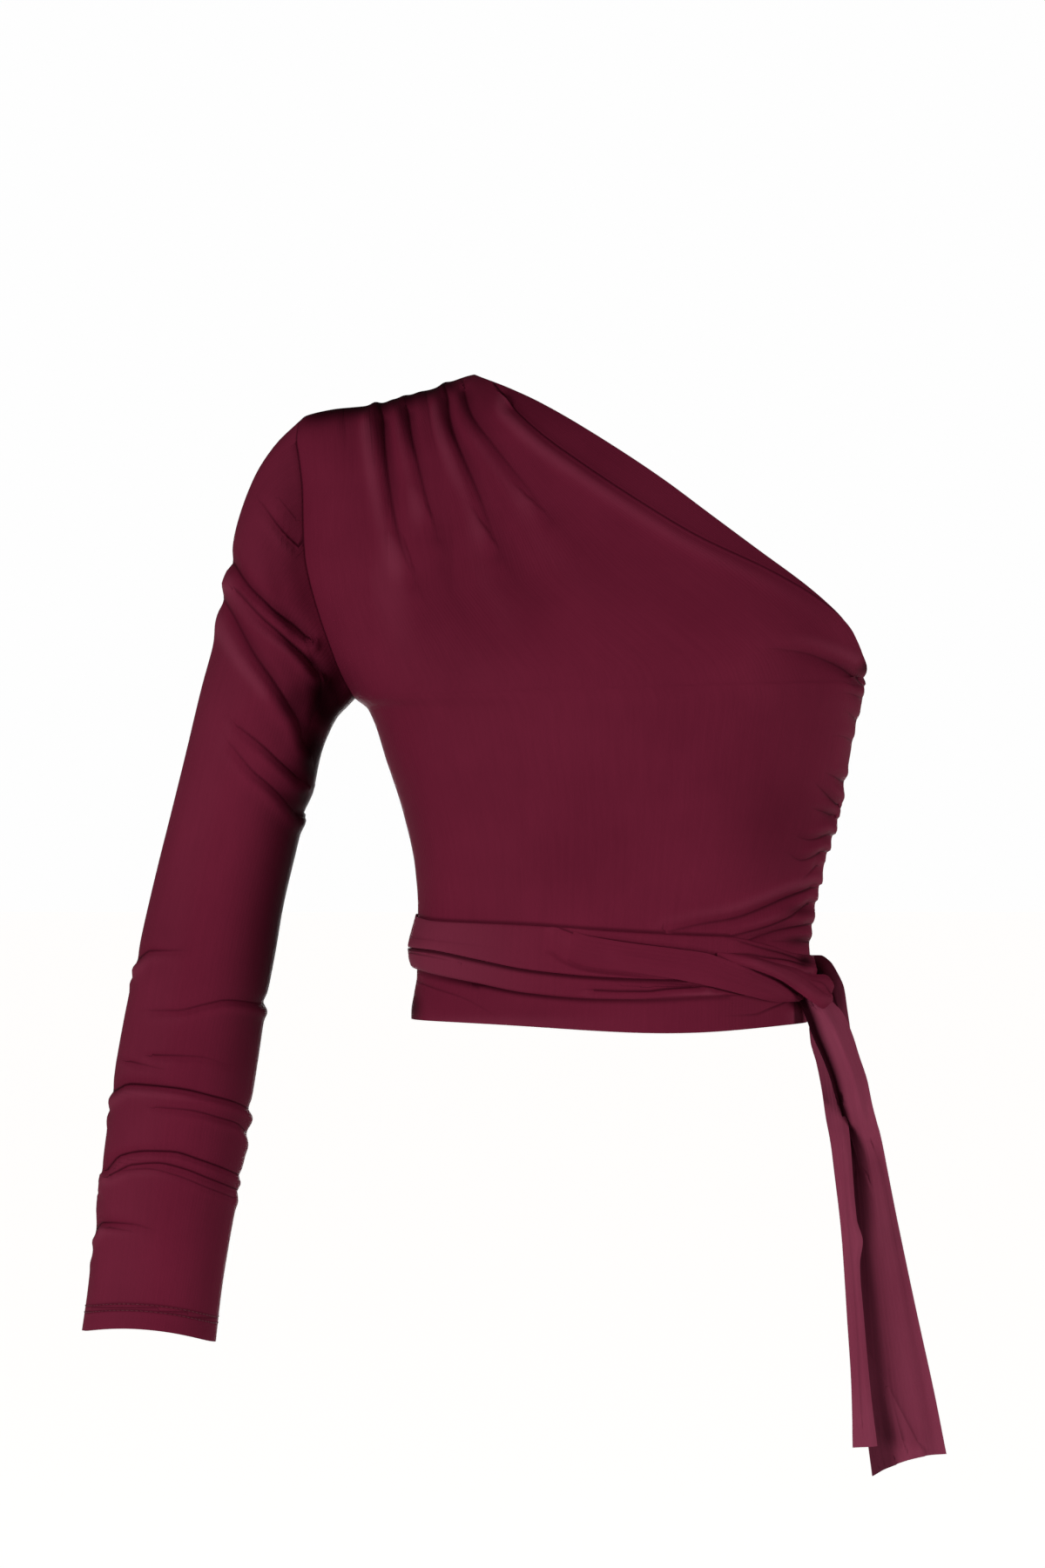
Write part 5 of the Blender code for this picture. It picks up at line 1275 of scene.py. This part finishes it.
def stitch_tree():
    """Geometry nodes that lay stitches along a line. All sizes are in metres."""
    tree = bpy.data.node_groups.new("stitches_along_a_line", "GeometryNodeTree")
    face = tree.interface
    face.new_socket("Geometry", in_out="INPUT", socket_type="NodeSocketGeometry")
    for name, start in (("Spacing", 0.003), ("Length", 0.0022), ("Thread", 0.00045)):
        face.new_socket(name, in_out="INPUT", socket_type="NodeSocketFloat").default_value = start
    face.new_socket("Material", in_out="INPUT", socket_type="NodeSocketMaterial")
    face.new_socket("Geometry", in_out="OUTPUT", socket_type="NodeSocketGeometry")
    given = add(tree, "NodeGroupInput")
    line = add(tree, "GeometryNodeMeshToCurve", {0: given.outputs["Geometry"]})
    apart = {"Curve": line.outputs[0], "Length": given.outputs["Spacing"]}
    even = add(tree, "GeometryNodeResampleCurve", apart, mode="LENGTH")
    bead = add(tree, "GeometryNodeMeshUVSphere", {"Segments": 8, "Rings": 5, "Radius": 1.0})
    half_thread, half_length = (maths(tree, "MULTIPLY", given.outputs[k], 0.5) for k in ("Thread", "Length"))
    size = add(tree, "ShaderNodeCombineXYZ", {0: half_thread, 1: half_thread, 2: half_length})
    tangent = add(tree, "GeometryNodeInputTangent")
    turned = add(tree, "FunctionNodeAlignRotationToVector", {"Vector": tangent.outputs[0]}, axis="Z")
    points = {"Points": even.outputs[0], "Instance": bead.outputs[0], "Rotation": turned.outputs[0]}
    placed_beads = add(tree, "GeometryNodeInstanceOnPoints", {**points, "Scale": size.outputs[0]})
    real = add(tree, "GeometryNodeRealizeInstances", {0: placed_beads.outputs[0]})
    dyed = add(tree, "GeometryNodeSetMaterial", {0: real.outputs[0], "Material": given.outputs["Material"]})
    add(tree, "NodeGroupOutput", {0: dyed.outputs[0]})
    return tree


STITCH_TREE = stitch_tree()


def stitches(name, lines, material, **sizes):
    """Stitches along lines of points in mm. Each line is a list of points, and closes when its ends meet."""
    mesh = bpy.data.meshes.new(name + "_line")
    points = np.concatenate(lines) * 0.001
    edges, start = [], 0
    for line in lines:
        edges += [(start + i, start + i + 1) for i in range(len(line) - 1)]
        start += len(line)
    mesh.from_pydata(points.tolist(), edges, [])
    carrier = put(name + "_line", mesh)
    modifier = carrier.modifiers.new("stitches", "NODES")
    modifier.node_group = STITCH_TREE
    items = STITCH_TREE.interface.items_tree
    sockets = {item.name: item.identifier for item in items if item.in_out == "INPUT"}
    for label, value in {**sizes, "Material": material}.items():
        modifier[sockets[label]] = value
    evaluated = carrier.evaluated_get(bpy.context.evaluated_depsgraph_get())
    made = bpy.data.meshes.new_from_object(evaluated)
    bpy.data.objects.remove(carrier)
    made.name = name
    made.shade_smooth()
    print(f"{name}: {len(made.polygons)} faces")
    return put(name, made)


def thread_material():
    """Spun polyester thread, dyed to match and a little shinier than the knit."""
    thread, tree, shader = new_material("spun_polyester_thread")
    place = add(tree, "ShaderNodeTexCoord")
    ply = add(tree, "ShaderNodeTexNoise", {"Vector": place.outputs["Object"], "Scale": 1500.0})
    two = {0: ply.outputs[0], 6: colour("#420A19"), 7: colour("#64202F")}
    tint = add(tree, "ShaderNodeMix", two, data_type="RGBA")
    feed(tree, shader, {"Base Color": tint.outputs[2], "Roughness": 0.5, "Specular IOR Level": 0.2})
    return thread


THREAD = thread_material()
STITCH_OUT = 0.15  # from the cloth to the middle of a stitch


def cuff_line(above):
    """A closed line on the sleeve's outer face, at a distance in mm above its edge."""
    from_edge = sleeve_outer[::-1]
    run = run_of(from_edge)
    line = np.array([
        [np.interp(above, run[:, j], from_edge[:, j, k]) for k in range(3)] for j in range(run.shape[1])
    ])
    outward = line - line.mean(0)
    outward[:, 2] = 0
    line = line + outward / np.linalg.norm(outward, axis=1, keepdims=True) * STITCH_OUT
    return np.concatenate([line, line[:1]])


cuff_rows = [cuff_line(above) for above in reversed(CUFF_ROWS)]
cuff_thread = stitches("cuff_coverstitch", cuff_rows, THREAD, Spacing=0.003, Length=0.0023, Thread=0.00055)

# %% [markdown]
# Each piece now stands for its CAD node, which is hidden, and rides on the one body. The table also lists
# each as a sheet of cloth with the size that it was cut to, how it is held and what it rests on, but only the
# piece and its node are used here. The sizes are those of the cut of what shows, in metres.

SHEETS = [
    # piece, CAD node, width, length, area of the cut, how it is held, what it rests on
    ("front_cloth", "front_panel", 0.46, 0.46, 0.150, "gathered", ["sleeve_cloth", "back_cloth"]),
    ("back_cloth", "back_panel", 0.42, 0.45, 0.130, "gathered", ["sleeve_cloth", "front_cloth"]),
    ("sleeve_cloth", "sleeve", 0.33, 0.62, 0.155, "stretched", ["front_cloth", "back_cloth"]),
    ("upper_wrap_cloth", "sash_upper_wrap", 0.66, 0.03, None, "stretched", ["front_cloth", "back_cloth"]),
    ("lower_wrap_cloth", "sash_lower_wrap", 0.66, 0.02, None, "stretched", ["front_cloth", "back_cloth"]),
    ("crossing_end_cloth", "sash_front_strand", 0.19, 0.024, None, "gathered",
     ["upper_wrap_cloth", "lower_wrap_cloth"]),
    ("knot_cloth", "sash_knot", 0.09, 0.02, None, "folded", ["crossing_end_cloth", "upper_wrap_cloth"]),
    ("front_tail_cloth", "sash_tail_front", 0.04, 0.31, None, "hung", ["knot_cloth"]),
    ("back_tail_cloth", "sash_tail_back", 0.018, 0.42, None, "hung",
     ["upper_wrap_cloth", "front_tail_cloth"]),
]
for name, node, width, length, area, held, rests_on in SHEETS:
    piece = bpy.data.objects[name]
    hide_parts(node)
    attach(piece, "root")
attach(cuff_thread, "root")

# %% [markdown]
# In the photograph the left sides are a little brighter, and what faces up is darker than what hangs
# straight. So the key stands to the left and below the middle of the blouse. A weaker light on the right, a
# soft one beside the camera and a weak even sky fill the rest, and one behind serves the other views. The
# backdrop is white to the camera alone, so that it doesn't wash the cloth out.

# %% Light and floor
scene = bpy.context.scene
scene.view_settings.view_transform = "Standard"
world = bpy.data.worlds.new("studio")
world.use_nodes = True
scene.world = world
sky = world.node_tree
backdrop = sky.nodes["Background"]
backdrop.inputs["Color"].default_value = colour("#FEFEFE")
fill = add(sky, "ShaderNodeBackground", {"Color": colour("#F4F1F0"), "Strength": 0.16})
ray = add(sky, "ShaderNodeLightPath")
shown = {0: ray.outputs["Is Camera Ray"], 1: fill.outputs[0], 2: backdrop.outputs[0]}
both = add(sky, "ShaderNodeMixShader", shown)
sky.links.new(both.outputs[0], sky.nodes["World Output"].inputs["Surface"])
BLOUSE_MIDDLE = (0.08, 0, -0.3)


def soft_light(name, place, energy, size):
    """A large square lamp that points at the middle of the blouse. place is in metres, energy in watts."""
    lamp = bpy.data.lights.new(name, "AREA")
    lamp.energy, lamp.size = energy, size
    thing = put(name, lamp)
    thing.location = place
    from_here = np.array(BLOUSE_MIDDLE) - np.array(place)
    thing.rotation_euler = (
        np.arctan2(np.hypot(*from_here[:2]), -from_here[2]),
        0,
        np.arctan2(from_here[1], from_here[0]) - np.pi / 2,
    )


soft_light("key", (-2.9, -3.0, -0.7), 146, 1.8)
soft_light("side_light", (3.7, -1.5, -0.4), 74, 1.4)
soft_light("front_fill", (1.0, -4.0, -0.7), 34, 2.0)
soft_light("back_fill", (0.1, 3.8, -0.5), 100, 1.6)

FLOOR_Z = -1.40  # a shoulder is about 1.4 m above the floor
FLOOR_HALF = 60
floor_mesh = bpy.data.meshes.new("floor")
floor_corners = [(x * FLOOR_HALF, y * FLOOR_HALF, FLOOR_Z) for x, y in ((-1, -1), (1, -1), (1, 1), (-1, 1))]
floor_mesh.from_pydata(floor_corners, [], [(0, 1, 2, 3)])
floor = put("floor", floor_mesh)
paper, paper_tree, paper_shader = new_material("pale_floor")
feed(paper_tree, paper_shader, {
    "Base Color": colour("#F4F3F2"), "Roughness": 0.9, "Emission Color": colour("#FBFAF9"),
    "Emission Strength": 0.90,
})
floor_mesh.materials.append(paper)
floor.visible_diffuse = False
